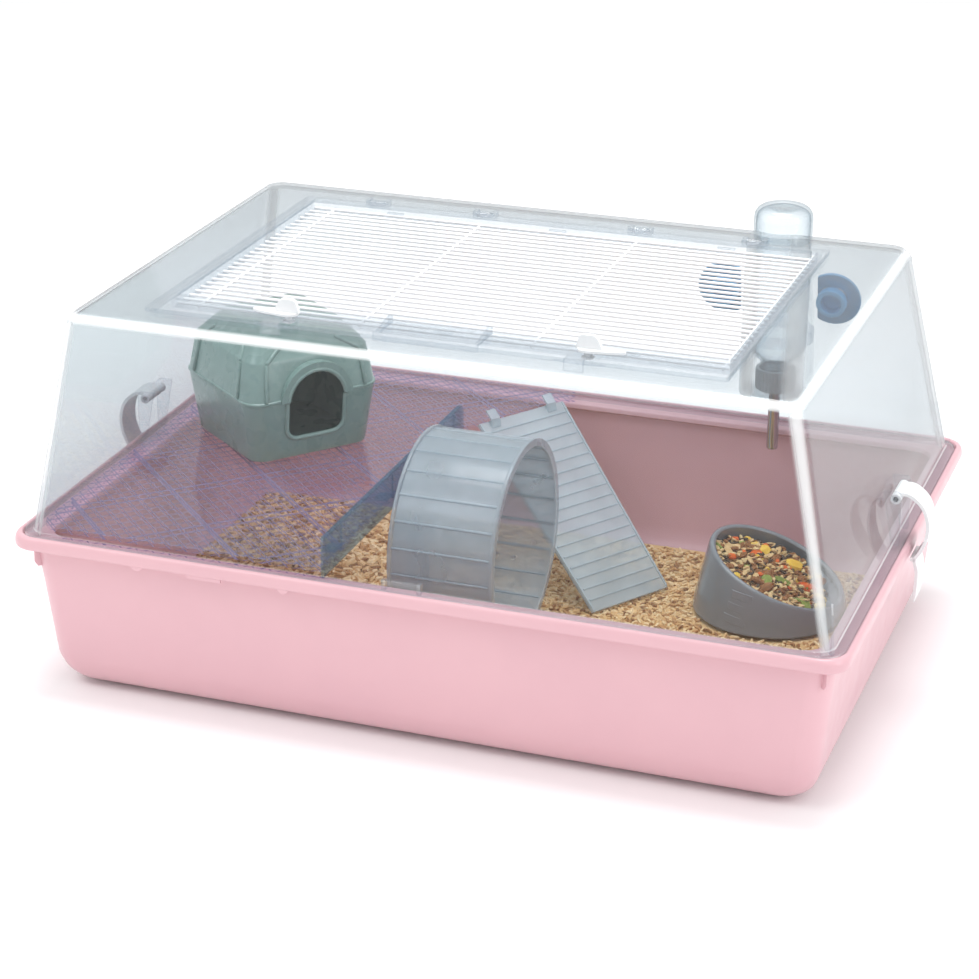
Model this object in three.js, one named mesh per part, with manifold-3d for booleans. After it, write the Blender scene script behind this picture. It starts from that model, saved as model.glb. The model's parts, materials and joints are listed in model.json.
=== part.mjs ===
// Hamster cage: pink tub, clear hood with a wire door in its roof, and the furniture inside.
// Millimetres, +Z up, +X to the right along the long side, +Y to the back.
// Origin: middle of the footprint, on the ground plane.
import * as THREE from 'three';
import { mergeVertices } from 'three/addons/utils/BufferGeometryUtils.js';
import Module from 'manifold-3d';

const wasm = await Module();
wasm.setup();

// ---------- driving dimensions ----------
const GAP = 0.3;
const RIM_HALF_X = 277.5;
const RIM_HALF_Y = 195;
const RIM_CORNER = 16;
const RIM_TOP = 114.2;
const RIM_SKIRT_BOTTOM = 105.4;
const LEDGE_Z = 110.5;
const FLOOR_TOP = 4;
const BEDDING_TOP = 12;

const LIP_TOP = 114;
const ROOF_TOP = 265;
const COVER_WALL = 2.2;
const ROOF_FILLET = 10;

const HINGE_Y = 113.6;
const HINGE_Z = 267.2;
const HINGE_X = [-137, -56.5, 56.5, 137];
const ROOF_HOLE = { x: 186.3, front: -146.5, back: 116.3 };
const DOOR = { x: 189.5, front: -150.5, back: 110.5, bottom: ROOF_TOP + GAP, top: 268.3 };
const DOOR_HOLE = { x: 182.5, front: -124, back: 106 };
const LATCH_X = 98;
const LATCH_Y = -138;

const CLIP_Y = 5;
const CLIP_PIN = { x: 266.5, z: 145 };

const BOTTLE = { x: 144, y: 168, r: 20.5, top: 279 };
const NICHE_R = 23.5;
const NICHE_FLOOR = 144.5;
const PORT = { dx: 38.5, z: 216, r: 19.5, flat: 11, bore: 10.8 };

const PLATFORM = { left: -262.8, right: -62, half: 180.3, bottom: 114.8, top: 117.8 };
const RAMP_EDGE = { from: [-62, 83], to: [-14, 160] };
const RAMP = { top: 78, foot: 70, run: 124, drop: 103.5, thick: 2.4, ridges: 17 };

const WHEEL = { left: -50, right: 24, y: -27, z: 85.6, r: 71.5, wall: 1.8 };

const HOUSE = { x: -177.6, y: 28.7, turn: 51.2, floor: 118.1, seam: 161.5, top: 209 };
const BOWL = {
  x: 167, y: 85, foot: 54, taper: 0.21, wall: 4.5, floor: 12.4, rim: 46.5, slopeX: -0.4, slopeY: 0.03,
};

// ---------- geometry helpers ----------
// A closed geometry as a solid, its faces turned outwards whichever way they were wound.
function solid(geometry) {
  const bare = geometry.index ? geometry.toNonIndexed() : geometry.clone();
  bare.deleteAttribute('normal');
  bare.deleteAttribute('uv');
  const merged = mergeVertices(bare, 1e-4);
  const vertProperties = new Float32Array(merged.attributes.position.array);
  const triVerts = new Uint32Array(merged.index.array);
  const body = new wasm.Manifold(new wasm.Mesh({ numProp: 3, vertProperties, triVerts }));
  if (body.volume() > 0) return body;
  return new wasm.Manifold(new wasm.Mesh({ numProp: 3, vertProperties, triVerts: triVerts.reverse() }));
}

function geometryOf(manifold) {
  const mesh = manifold.getMesh();
  const geometry = new THREE.BufferGeometry();
  const positions = new Float32Array((mesh.vertProperties.length / mesh.numProp) * 3);
  for (let i = 0; i < positions.length / 3; i += 1) {
    for (let k = 0; k < 3; k += 1) positions[3 * i + k] = mesh.vertProperties[mesh.numProp * i + k];
  }
  geometry.setAttribute('position', new THREE.BufferAttribute(positions, 3));
  geometry.setIndex(new THREE.BufferAttribute(new Uint32Array(mesh.triVerts), 1));
  geometry.computeVertexNormals();
  return geometry;
}

function block(x0, x1, y0, y1, z0, z1) {
  const geometry = new THREE.BoxGeometry(x1 - x0, y1 - y0, z1 - z0);
  geometry.translate((x0 + x1) / 2, (y0 + y1) / 2, (z0 + z1) / 2);
  return solid(geometry);
}

function rod(radius, length, axis, centre, segments = 24) {
  const geometry = new THREE.CylinderGeometry(radius, radius, length, segments);
  if (axis === 'x') geometry.rotateZ(Math.PI / 2);
  if (axis === 'z') geometry.rotateX(Math.PI / 2);
  geometry.translate(centre[0], centre[1], centre[2]);
  return solid(geometry);
}

// A closed outline of [a, b] points as a plate of the given thickness along +Z.
function plate(points, thickness) {
  const shape = new THREE.Shape(points.map(([a, b]) => new THREE.Vector2(a, b)));
  return new THREE.ExtrudeGeometry(shape, { depth: thickness, bevelEnabled: false });
}

// An outline in the X-Z plane, made into a plate between y0 and y1.
function uprightPlate(points, y0, y1) {
  const geometry = plate(points, y1 - y0);
  geometry.rotateX(Math.PI / 2);
  geometry.translate(0, y1, 0);
  return solid(geometry);
}

// Full turn about the vertical line through (x, y); the profile is [radius, z] points.
function turned(profile, x, y, segments, closed) {
  const points = profile.map(([r, z]) => new THREE.Vector2(r, z));
  if (closed) points.push(points[0].clone());
  const geometry = new THREE.LatheGeometry(points, segments);
  geometry.rotateX(Math.PI / 2);
  geometry.translate(x, y, 0);
  return solid(geometry);
}

// One rounded rectangle, anticlockwise from above.
function loop({ halfX, front, back, r, z }, steps) {
  const points = [];
  const corners = [
    [halfX - r, back - r, 0],
    [-halfX + r, back - r, 90],
    [-halfX + r, front + r, 180],
    [halfX - r, front + r, 270],
  ];
  for (const [cx, cy, start] of corners) {
    for (let i = 0; i <= steps; i += 1) {
      const a = THREE.MathUtils.degToRad(start + (90 * i) / steps);
      points.push([cx + r * Math.cos(a), cy + r * Math.sin(a), z]);
    }
  }
  return points;
}

// A skin through a stack of rounded rectangles, closed flat at the first and the last one.
function stack(rings, steps = 5) {
  const count = 4 * (steps + 1);
  const positions = [];
  const index = [];
  for (const ring of rings) for (const point of loop(ring, steps)) positions.push(...point);
  for (let i = 0; i + 1 < rings.length; i += 1) {
    for (let j = 0; j < count; j += 1) {
      const k = (j + 1) % count;
      index.push(i * count + j, i * count + k, (i + 1) * count + k);
      index.push(i * count + j, (i + 1) * count + k, (i + 1) * count + j);
    }
  }
  const first = rings[0];
  const last = rings[rings.length - 1];
  const low = positions.length / 3;
  positions.push(0, (first.front + first.back) / 2, first.z);
  positions.push(0, (last.front + last.back) / 2, last.z);
  const top = (rings.length - 1) * count;
  for (let j = 0; j < count; j += 1) {
    const k = (j + 1) % count;
    index.push(low, k, j);
    index.push(low + 1, top + j, top + k);
  }
  const geometry = new THREE.BufferGeometry();
  geometry.setAttribute('position', new THREE.Float32BufferAttribute(positions, 3));
  geometry.setIndex(index);
  return solid(geometry);
}

function union(parts) {
  return parts.reduce((sum, part) => sum.add(part));
}

const cage = new THREE.Group();

function addPiece(name, manifold, color, roughness, metalness = 0, opacity = 1) {
  const material = new THREE.MeshStandardMaterial({ color, roughness, metalness });
  material.transparent = opacity < 1;
  material.opacity = opacity;
  const mesh = new THREE.Mesh(geometryOf(manifold), material);
  mesh.name = name;
  cage.add(mesh);
}

// ---------- tub ----------
function tubRing(inset, z) {
  return {
    halfX: RIM_HALF_X - inset,
    front: -RIM_HALF_Y + inset,
    back: RIM_HALF_Y - inset,
    r: RIM_CORNER,
    z,
  };
}

function wallInset(z) {
  return 20.1 - 0.095 * z;
}

function tub() {
  const shell = stack([
    tubRing(45, 0),
    tubRing(44, 1.5),
    tubRing(38, 1.6),
    tubRing(31, 3.4),
    tubRing(24.8, 8),
    tubRing(20.8, 14.5),
    tubRing(wallInset(24), 24),
    tubRing(wallInset(107), 107),
    tubRing(2.7, 107.6),
    tubRing(2.2, RIM_SKIRT_BOTTOM),
    tubRing(0.4, RIM_SKIRT_BOTTOM),
    tubRing(0, RIM_SKIRT_BOTTOM + 0.8),
    tubRing(0, 109.4),
    tubRing(0.8, 112.4),
    tubRing(2.4, RIM_TOP),
    tubRing(3.5, RIM_TOP),
    tubRing(4.1, 113.6),
    tubRing(4.2, LEDGE_Z),
    tubRing(18.4, LEDGE_Z),
    tubRing(19, 109.8),
    tubRing(19, 108.8),
    tubRing(wallInset(103.5) + 2.5, 103.5),
    tubRing(wallInset(24) + 2.5, 24),
    tubRing(23.4, 15.6),
    tubRing(27, 9.9),
    tubRing(32.4, 5.8),
    tubRing(40, FLOOR_TOP),
  ]);
  const extras = [];
  for (const sx of [-1, 1]) {
    for (const sy of [-1, 1]) {
      const web = new THREE.BoxGeometry(7, 2, 19);
      web.rotateZ(Math.atan2(sy, sx));
      web.translate(sx * (RIM_HALF_X - 15.4), sy * (RIM_HALF_Y - 15.4), 98.5);
      extras.push(solid(web));
    }
  }
  for (const x of [-184, -82]) {
    const tab = rod(4.4, 1.7, 'y', [x, -RIM_HALF_Y + 1.3, RIM_SKIRT_BOTTOM + 1.4], 16);
    extras.push(tab);
  }
  extras.push(block(-148, -125, -RIM_HALF_Y + 0.5, -RIM_HALF_Y + 2.1, RIM_SKIRT_BOTTOM - 2, 107));
  return union([shell, ...extras]);
}

// ---------- cover ----------
function coverRing(z, inset = 0) {
  const t = (z - LIP_TOP) / (ROOF_TOP - LIP_TOP);
  return {
    halfX: 266.6 - 29.2 * t - inset,
    front: -184.2 + 8 * t + inset,
    back: 184.2 - 29.7 * t - inset,
    r: 11 + 2 * t - 0.5 * inset,
    z,
  };
}

function roofEdge(inset) {
  const rings = [];
  const centreZ = ROOF_TOP - ROOF_FILLET;
  const radius = ROOF_FILLET - inset;
  for (let i = 0; i <= 4; i += 1) {
    const a = THREE.MathUtils.degToRad(22.5 * i);
    const ring = coverRing(centreZ, inset + radius * (1 - Math.cos(a)));
    ring.r = 13 - 0.5 * (ROOF_FILLET - radius * Math.cos(a));
    ring.z = centreZ + radius * Math.sin(a);
    rings.push(ring);
  }
  return rings;
}

function flangeRing(halfX, halfY, r, z) {
  return { halfX, front: -halfY, back: halfY, r, z };
}

// U-shaped upright prism round the bottle, open to the back.
function nicheSolid(radius, bottom, top) {
  const outline = [[radius, 80], [-radius, 80]];
  for (let i = 0; i <= 16; i += 1) {
    const a = THREE.MathUtils.degToRad(180 + (180 * i) / 16);
    outline.push([radius * Math.cos(a), radius * Math.sin(a)]);
  }
  const geometry = plate(outline, top - bottom);
  geometry.translate(BOTTLE.x, BOTTLE.y, bottom);
  return solid(geometry);
}

function backWallFrame(x) {
  const t = (PORT.z - LIP_TOP) / (ROOF_TOP - LIP_TOP);
  const lean = Math.atan2(29.7, ROOF_TOP - LIP_TOP);
  const frame = new THREE.Matrix4().makeRotationX(-Math.PI / 2 + lean);
  frame.setPosition(x, 184.2 - 29.7 * t, PORT.z);
  return frame;
}

function clipPlates(side) {
  const pieces = [];
  const outline = [
    [side * 265.4, 113.6],
    [side * 271, 113.6],
    [side * 271, 148.5],
    [side * 268.8, 151],
    [side * 258.4, 151],
  ];
  for (const y of [CLIP_Y - 15, CLIP_Y + 15]) pieces.push(uprightPlate(outline, y - 0.8, y + 0.8));
  pieces.push(rod(1.5, 29.4, 'y', [side * CLIP_PIN.x, CLIP_Y, CLIP_PIN.z], 16));
  return pieces;
}

function cornerFin(sx, sy) {
  const inner = sy < 0 ? 17.2 : 13.8;
  const outline = [[23, 113.6], [31, 113.6], [inner + 9.5, 146], [inner + 0.4, 146]];
  const geometry = plate(outline, 1.6);
  geometry.rotateX(Math.PI / 2);
  geometry.translate(0, 0.8, 0);
  geometry.rotateZ(Math.atan2(sy, sx));
  geometry.translate(sx * 245.6, sy * 163.2, 0);
  return solid(geometry);
}

function cover() {
  const outside = stack([
    flangeRing(272.9, 190.4, 16.6, LEDGE_Z + GAP),
    flangeRing(272.9, 190.4, 16.6, 113.4),
    flangeRing(272.3, 189.8, 16.2, LIP_TOP),
    flangeRing(267.6, 185.2, 12, LIP_TOP),
    coverRing(115.4),
    ...roofEdge(0),
  ]);
  const inside = stack([coverRing(LEDGE_Z - 2, COVER_WALL), ...roofEdge(COVER_WALL)]);
  const nicheShell = nicheSolid(NICHE_R + COVER_WALL, NICHE_FLOOR - COVER_WALL, 300);
  let shell = outside.subtract(inside.subtract(nicheShell));
  shell = shell.subtract(nicheSolid(NICHE_R, NICHE_FLOOR, 300));
  shell = shell.subtract(rod(6.3, 10, 'z', [BOTTLE.x, BOTTLE.y, NICHE_FLOOR - 2], 24));
  shell = shell.subtract(block(
    -ROOF_HOLE.x, ROOF_HOLE.x, ROOF_HOLE.front, ROOF_HOLE.back, ROOF_TOP - 8, ROOF_TOP + 8,
  ));
  for (const side of [-1, 1]) {
    const bore = new THREE.CylinderGeometry(PORT.bore, PORT.bore, 16, 32);
    bore.rotateX(Math.PI / 2);
    bore.applyMatrix4(backWallFrame(BOTTLE.x + side * PORT.dx));
    shell = shell.subtract(solid(bore));
  }
  const extras = [...clipPlates(-1), ...clipPlates(1)];
  for (const sx of [-1, 1]) for (const sy of [-1, 1]) extras.push(cornerFin(sx, sy));
  for (const x of HINGE_X) {
    for (const end of [-1, 1]) {
      extras.push(block(
        x + end * 7 - 1.5, x + end * 7 + 1.5, HINGE_Y - 1.9, HINGE_Y + 5.5, ROOF_TOP - 2, HINGE_Z + 2.2,
      ));
    }
    extras.push(rod(1.2, 14, 'x', [x, HINGE_Y, HINGE_Z], 16));
  }
  for (const x of [-LATCH_X, LATCH_X]) {
    extras.push(block(x - 6, x + 6, -168.2, -165.4, ROOF_TOP - 1.5, 272.4));
    extras.push(block(x - 6, x + 6, -166, -158.6, 271, 272.4));
  }
  const lipPostX = [[-17, -14.4], [6.4, 9]];
  for (const [x0, x1] of lipPostX) extras.push(block(x0, x1, -189.4, -184.6, 112.6, 120.5));
  extras.push(block(-17, 9, -189.4, -187, 117.6, 120.5));
  const bandRing = turned([
    [NICHE_R + 0.4, 182], [NICHE_R + 1.9, 182], [NICHE_R + 1.9, 190], [NICHE_R + 0.4, 190],
  ], BOTTLE.x, BOTTLE.y, 32, true);
  extras.push(bandRing);
  return union([shell, ...extras]);
}

// ---------- roof door ----------
function frameRing(outer, inner, z0, z1) {
  const outerBlock = block(-outer.x, outer.x, outer.front, outer.back, z0, z1);
  return outerBlock.subtract(block(-inner.x, inner.x, inner.front, inner.back, z0 - 1, z1 + 1));
}

function doorFrame() {
  const hole = DOOR_HOLE;
  const skirt = { x: hole.x + 2.5, front: hole.front - 2.6, back: hole.back + 2.6 };
  const ledge = { x: hole.x - 3, front: hole.front + 3, back: hole.back - 3 };
  let frame = union([
    frameRing(DOOR, hole, DOOR.bottom, DOOR.top),
    frameRing(skirt, hole, 259.2, DOOR.bottom + 0.5),
    frameRing(skirt, ledge, 259.2, 260.4),
  ]);
  const extras = [];
  for (const x of [-120, 0, 120]) {
    extras.push(block(x - 6, x + 6, hole.front - 0.5, hole.front + 2.4, 262.9, 264.2));
    extras.push(block(x - 6, x + 6, hole.back - 2.4, hole.back + 0.5, 262.9, 264.2));
  }
  for (const x of HINGE_X) {
    extras.push(rod(2.4, 9.8, 'x', [x, HINGE_Y, HINGE_Z], 20));
    extras.push(block(x - 4.9, x + 4.9, DOOR.back - 1, HINGE_Y, HINGE_Z - 1.6, HINGE_Z + 1));
  }
  for (const x of [-LATCH_X, LATCH_X]) {
    const tongue = plate([[x - 16, DOOR.front + 1], [x, -157.6], [x + 16, DOOR.front + 1]], 1.7);
    tongue.translate(0, 0, DOOR.bottom);
    extras.push(solid(tongue));
  }
  extras.push(block(-34, 34, -131, -128.4, DOOR.top - 1, 273));
  for (const side of [-1, 1]) {
    const cheek = uprightCheek(side * 32.6);
    extras.push(cheek);
  }
  extras.push(block(-34, 34, DOOR.front - 2.4, DOOR.front + 1, DOOR.bottom, 270.4));
  frame = union([frame, ...extras]);
  for (const x of HINGE_X) frame = frame.subtract(rod(1.5, 12, 'x', [x, HINGE_Y, HINGE_Z], 16));
  for (const x of [-LATCH_X, LATCH_X]) {
    frame = frame.subtract(rod(2.7, 8, 'z', [x, LATCH_Y, DOOR.top - 2], 20));
  }
  return frame;
}

// Side cheek of the lifting handle: a plate in the Y-Z plane that falls towards the front.
function uprightCheek(x) {
  const outline = [[-129, 267.5], [-129, 273], [-133, 273], [-152, 269.8], [-152, 267.5]];
  const geometry = plate(outline, 2.8);
  geometry.rotateX(Math.PI / 2);
  geometry.rotateZ(Math.PI / 2);
  geometry.translate(x - 1.4, 0, 0);
  return solid(geometry);
}

function doorGrille() {
  const wires = 27;
  const half = 1;
  const front = DOOR_HOLE.front + 0.4 + half;
  const back = DOOR_HOLE.back - 0.4 - half;
  const end = DOOR_HOLE.x - 0.4;
  const parts = [];
  for (let i = 0; i < wires; i += 1) {
    const y = front + ((back - front) * i) / (wires - 1);
    parts.push(block(-end, end, y - half, y + half, 261.2, 262.6));
  }
  for (const x of [-167, -57, 57, 178]) {
    parts.push(block(x - 1.2, x + 1.2, front - 0.6, back + 0.6, 260.75, 261.9));
  }
  return union(parts);
}

// Turn button: teardrop plate with a grip ridge, its stem through the rail and a retaining disc.
function turnLatch(side) {
  const x = side * LATCH_X;
  const outline = [];
  for (let i = 0; i <= 12; i += 1) {
    const a = THREE.MathUtils.degToRad(70 + (220 * i) / 12);
    outline.push([6.6 * Math.cos(a), 6.6 * Math.sin(a)]);
  }
  outline.push([22.8, -1.8], [24, 0], [22.8, 1.8]);
  const nose = plate(outline, 1.6);
  nose.translate(0, 0, DOOR.top + GAP);
  const ridge = plate([[-7.5, 0], [9.5, 0], [5, 8.8], [-4.5, 8.8]], 3.4);
  ridge.translate(0, 0, -1.7);
  ridge.rotateX(Math.PI / 2);
  ridge.translate(0, 0, DOOR.top + GAP + 1.2);
  const body = union([
    solid(nose),
    solid(ridge),
    rod(2.3, 5.2, 'z', [0, 0, DOOR.top - 1.8], 20),
    rod(4.2, 1.5, 'z', [0, 0, DOOR.bottom - 1.15], 20),
  ]);
  return body.rotate([0, 0, side > 0 ? 0 : 180]).translate([x, LATCH_Y, 0]);
}

// ---------- side clips ----------
// A band of even thickness along a curve in the X-Z plane.
function bandOutline(path, thickness, samples) {
  const curve = new THREE.CatmullRomCurve3(path.map(([a, b]) => new THREE.Vector3(a, b, 0)));
  const left = [];
  const right = [];
  for (let i = 0; i <= samples; i += 1) {
    const p = curve.getPoint(i / samples);
    const t = curve.getTangent(i / samples);
    const half = (thickness / 2) * (i === samples ? 0.5 : 1);
    left.push([p.x - t.y * half, p.y + t.x * half]);
    right.unshift([p.x + t.y * half, p.y - t.x * half]);
  }
  return [...left, ...right];
}

function sideClip(side) {
  const arc = [
    [267, 147.4], [275, 147], [283.5, 140], [287.5, 129],
    [287, 118], [284, 109.5], [280.6, 103], [282.6, 94], [282, 74],
  ];
  const outline = bandOutline(arc.map(([a, b]) => [side * a, b]), 2.1, 26);
  const width = 10.6;
  const band = uprightPlate(outline, CLIP_Y - width, CLIP_Y + width);
  const toe = block(
    Math.min(side * 277.9, side * 281), Math.max(side * 277.9, side * 281),
    CLIP_Y - width, CLIP_Y + width, 102.2, 104.8,
  );
  const centre = [side * CLIP_PIN.x, CLIP_Y, CLIP_PIN.z];
  const clip = union([band, toe, rod(3.4, 27, 'y', centre, 20)]);
  return clip.subtract(rod(1.8, 30, 'y', centre, 16));
}

// ---------- platform, fence and ramp ----------
function platform() {
  const { left, right, half } = PLATFORM;
  const r = 18;
  const outline = [[right, -half], RAMP_EDGE.from, RAMP_EDGE.to, [-8, 164], [-8, half]];
  for (const [cx, cy, start] of [[left + r, half - r, 90], [left + r, -half + r, 180]]) {
    for (let i = 0; i <= 5; i += 1) {
      const a = THREE.MathUtils.degToRad(start + 18 * i);
      outline.push([cx + r * Math.cos(a), cy + r * Math.sin(a)]);
    }
  }
  const sheet = plate(outline, PLATFORM.top - PLATFORM.bottom);
  sheet.translate(0, 0, PLATFORM.bottom);
  const low = LEDGE_Z + GAP;
  const high = PLATFORM.bottom + 0.5;
  let body = union([
    solid(sheet),
    block(left, left + 2.2, -half + r, half - r, low, high),
    block(left + r, right, -half, -half + 2.2, low, high),
    block(left + r, -8, half - 2.2, half, low, high),
  ]);
  for (const y of [-82.5, -36.5]) {
    body = body.subtract(block(-96, -81, y - 2.6, y + 2.6, PLATFORM.bottom - 2, PLATFORM.top + 2));
  }
  return body;
}

function platformFence() {
  const x = PLATFORM.right + GAP;
  const outline = [[-179.6, 111], [81, 111], [81, 130], [78.5, 135.6], [72.5, 138], [-179.6, 138]];
  const strip = plate(outline, 1.9);
  strip.rotateX(Math.PI / 2);
  strip.rotateZ(Math.PI / 2);
  strip.translate(x, 0, 0);
  const parts = [solid(strip)];
  for (const y of [-150, -59.5, 60]) {
    parts.push(block(x - 9, x + 0.5, y - 6, y + 6, PLATFORM.top + GAP, PLATFORM.top + 2));
  }
  return union(parts);
}

function ramp() {
  const length = Math.hypot(RAMP.run, RAMP.drop);
  const sheet = plate([
    [0, -RAMP.top / 2], [length, -RAMP.foot / 2], [length, RAMP.foot / 2], [0, RAMP.top / 2],
  ], RAMP.thick);
  const parts = [solid(sheet)];
  for (let i = 1; i <= RAMP.ridges; i += 1) {
    const s = (length * i) / (RAMP.ridges + 1);
    const half = RAMP.top / 2 - ((RAMP.top - RAMP.foot) / 2) * (s / length) - 2.6;
    parts.push(block(s - 0.9, s + 0.9, -half, half, RAMP.thick - 0.4, RAMP.thick + 1.1));
  }
  for (const y of [-26, 26]) {
    const hook = plate([[0.4, 0.4], [6, 0.4], [6, 3], [1.2, 6.6], [-7, 6.6], [-7, 5], [0.4, 5]], 8);
    hook.rotateX(Math.PI / 2);
    hook.rotateY(THREE.MathUtils.degToRad(-1));
    hook.translate(0, y + 4, 0);
    parts.push(solid(hook));
  }
  const slope = THREE.MathUtils.radToDeg(Math.atan2(RAMP.drop, RAMP.run));
  const [ax, ay] = RAMP_EDGE.from;
  const [bx, by] = RAMP_EDGE.to;
  const along = Math.hypot(bx - ax, by - ay);
  const out = [(by - ay) / along, -(bx - ax) / along];
  const heading = THREE.MathUtils.radToDeg(Math.atan2(out[1], out[0]));
  const shift = 6;
  const mid = [
    (ax + bx) / 2 + 2.2 * out[0] - shift * out[1],
    (ay + by) / 2 + 2.2 * out[1] + shift * out[0],
  ];
  return union(parts).rotate([0, slope, 0]).rotate([0, 0, heading])
    .translate([mid[0], mid[1], 116.6]);
}

// ---------- exercise wheel ----------
// Full turn about the wheel's own axis; the profile is [radius, x] points.
function wheelTurned(profile, segments) {
  const points = profile.map(([r, x]) => new THREE.Vector2(r, x));
  points.push(points[0].clone());
  const geometry = new THREE.LatheGeometry(points, segments);
  geometry.rotateZ(-Math.PI / 2);
  geometry.translate(0, WHEEL.y, WHEEL.z);
  return solid(geometry);
}

function wheelDrum() {
  const { left, right, r, wall } = WHEEL;
  const skin = r - 1.8;
  const drum = wheelTurned([
    [3.4, left], [9, left], [9, left + 0.6], [r, left + 0.6], [r, left + 3.2], [skin, left + 3.2],
    [skin, right - 3], [r, right - 3], [r, right], [r - 6, right], [r - 6, right - 2],
    [skin - wall, right - 2], [skin - wall, left + 2.6], [9, left + 2.6], [9, left + 8], [3.4, left + 8],
  ], 40);
  const ribs = [];
  for (let i = 0; i < 24; i += 1) {
    const rib = new THREE.BoxGeometry(right - left - 5.6, 1.8, 1.6);
    rib.translate((left + right) / 2, 0, skin + 0.1);
    rib.rotateX(THREE.MathUtils.degToRad(15 * i + 3.75));
    rib.translate(0, WHEEL.y, WHEEL.z);
    ribs.push(solid(rib));
  }
  return union([drum, ...ribs]);
}

function wheelStand() {
  const { y, z, left } = WHEEL;
  const x0 = left - 8;
  const x1 = left - 3;
  const foot = BEDDING_TOP + GAP;
  const post = plate([
    [y - 34, foot], [y + 34, foot], [y + 34, foot + 3.5], [y + 10, z - 4], [y + 9, z + 6],
    [y + 4, z + 10], [y - 4, z + 10], [y - 9, z + 6], [y - 10, z - 4], [y - 34, foot + 3.5],
  ], x1 - x0);
  post.rotateX(Math.PI / 2);
  post.rotateZ(Math.PI / 2);
  post.translate(x0, 0, 0);
  const body = union([
    solid(post),
    block(x0 + 1, WHEEL.right - 8, y - 34, y - 22, foot, foot + 1.3),
    block(x0 + 1, WHEEL.right - 8, y + 22, y + 34, foot, foot + 1.3),
    block(WHEEL.right - 16, WHEEL.right - 8, y - 34, y + 34, foot, foot + 1.3),
  ]);
  return body.subtract(rod(3.3, 12, 'x', [(x0 + x1) / 2, y, z], 24));
}

function wheelAxle() {
  const { left, y, z } = WHEEL;
  return union([
    rod(3, 19, 'x', [left + 0.7, y, z], 24),
    rod(5.4, 1.2, 'x', [left - 8.8, y, z], 24),
  ]);
}

function wheelCap() {
  const { left, y, z } = WHEEL;
  const cap = rod(6.6, 4, 'x', [left + 10.4, y, z], 24);
  return cap.subtract(rod(3.3, 3, 'x', [left + 9.2, y, z], 24));
}

// ---------- house ----------
function houseRing(halfX, halfY, r, z) {
  return { halfX, front: -halfY, back: halfY, r, z };
}

// Arched doorway in the front wall, a cutter through the given depth range.
function archCutter(halfWidth, sill, crown, y0, y1) {
  const centre = crown - halfWidth;
  const corner = Math.min(9, halfWidth - 4);
  const outline = [];
  for (let i = 0; i <= 4; i += 1) {
    const a = THREE.MathUtils.degToRad(180 + 22.5 * i);
    outline.push([-halfWidth + corner + corner * Math.cos(a), sill + corner + corner * Math.sin(a)]);
  }
  for (let i = 0; i <= 4; i += 1) {
    const a = THREE.MathUtils.degToRad(270 + 22.5 * i);
    outline.push([halfWidth - corner + corner * Math.cos(a), sill + corner + corner * Math.sin(a)]);
  }
  for (let i = 0; i <= 12; i += 1) {
    const a = THREE.MathUtils.degToRad(15 * i);
    outline.push([halfWidth * Math.cos(a), centre + halfWidth * Math.sin(a)]);
  }
  return uprightPlate(outline, y0, y1);
}

function placeHouse(body) {
  return body.rotate([0, 0, HOUSE.turn]).translate([HOUSE.x, HOUSE.y, 0]);
}

const DOORWAY = { half: 22.5, sill: HOUSE.floor + 15, crown: HOUSE.floor + 64 };

function houseBase() {
  const { floor, seam } = HOUSE;
  const outer = stack([
    houseRing(43, 43.8, 9, floor),
    houseRing(46, 46.8, 12, floor + 2.5),
    houseRing(51, 51.8, 13, seam),
  ]);
  const inner = stack([
    houseRing(43.6, 44.4, 10, floor + 2.4),
    houseRing(48.7, 49.5, 11, seam + 0.2),
  ]);
  const door = archCutter(DOORWAY.half, DOORWAY.sill, DOORWAY.crown, -60, -20);
  return placeHouse(outer.subtract(inner).subtract(door));
}

function houseRoof() {
  const low = HOUSE.seam + GAP;
  const outer = stack([
    houseRing(52, 52.8, 14, low),
    houseRing(52, 52.8, 14, low + 1.6),
    houseRing(46.8, 47.6, 12, 190),
    houseRing(32, 32.8, 9, 207.4),
    houseRing(30, 30.8, 8, HOUSE.top),
  ]);
  const inner = stack([
    houseRing(49.2, 50, 11.5, low - 0.2),
    houseRing(44.4, 45.2, 10, 189),
    houseRing(30.6, 31.4, 8, 205.2),
    houseRing(29.4, 30.2, 7.4, 206.6),
  ]);
  const hood = archCutter(DOORWAY.half + 5.5, low - 30, DOORWAY.crown + 5.5, -54.2, -45.5)
    .subtract(block(-60, 60, -70, 0, 100, low));
  const door = archCutter(DOORWAY.half, DOORWAY.sill, DOORWAY.crown, -70, -20);
  const body = union([outer.subtract(inner), hood.subtract(inner)]);
  return placeHouse(body.subtract(door));
}

// ---------- bowl, food and bedding ----------
// Everything above the slanted rim plane of the bowl, lowered by the given amount.
function aboveRim(drop) {
  const geometry = new THREE.BoxGeometry(300, 300, 100);
  geometry.translate(0, 0, 50);
  geometry.rotateX(Math.atan(BOWL.slopeY));
  geometry.rotateY(-Math.atan(BOWL.slopeX));
  geometry.translate(BOWL.x, BOWL.y, BOWL.rim - drop);
  return solid(geometry);
}

function bowlSide(z) {
  return BOWL.foot - BOWL.taper * (z - BOWL.floor - 2);
}

function bowlCavity(inset) {
  const f = BOWL.floor;
  return turned([
    [0, f + 6 + inset], [28 - inset, f + 6.6 + inset], [39 - inset, f + 10 + inset],
    [bowlSide(f + 20) - BOWL.wall - inset, f + 20], [bowlSide(110) - BOWL.wall - inset, 110], [0, 110],
  ], BOWL.x, BOWL.y, 36, false);
}

function foodBowl() {
  const f = BOWL.floor;
  const body = turned([
    [0, f], [BOWL.foot - 2, f], [BOWL.foot, f + 2], [bowlSide(90), 90], [0, 90],
  ], BOWL.x, BOWL.y, 36, false);
  return body.subtract(bowlCavity(0)).subtract(aboveRim(0));
}

function foodMix() {
  return bowlCavity(0.5).subtract(aboveRim(7));
}

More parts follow.
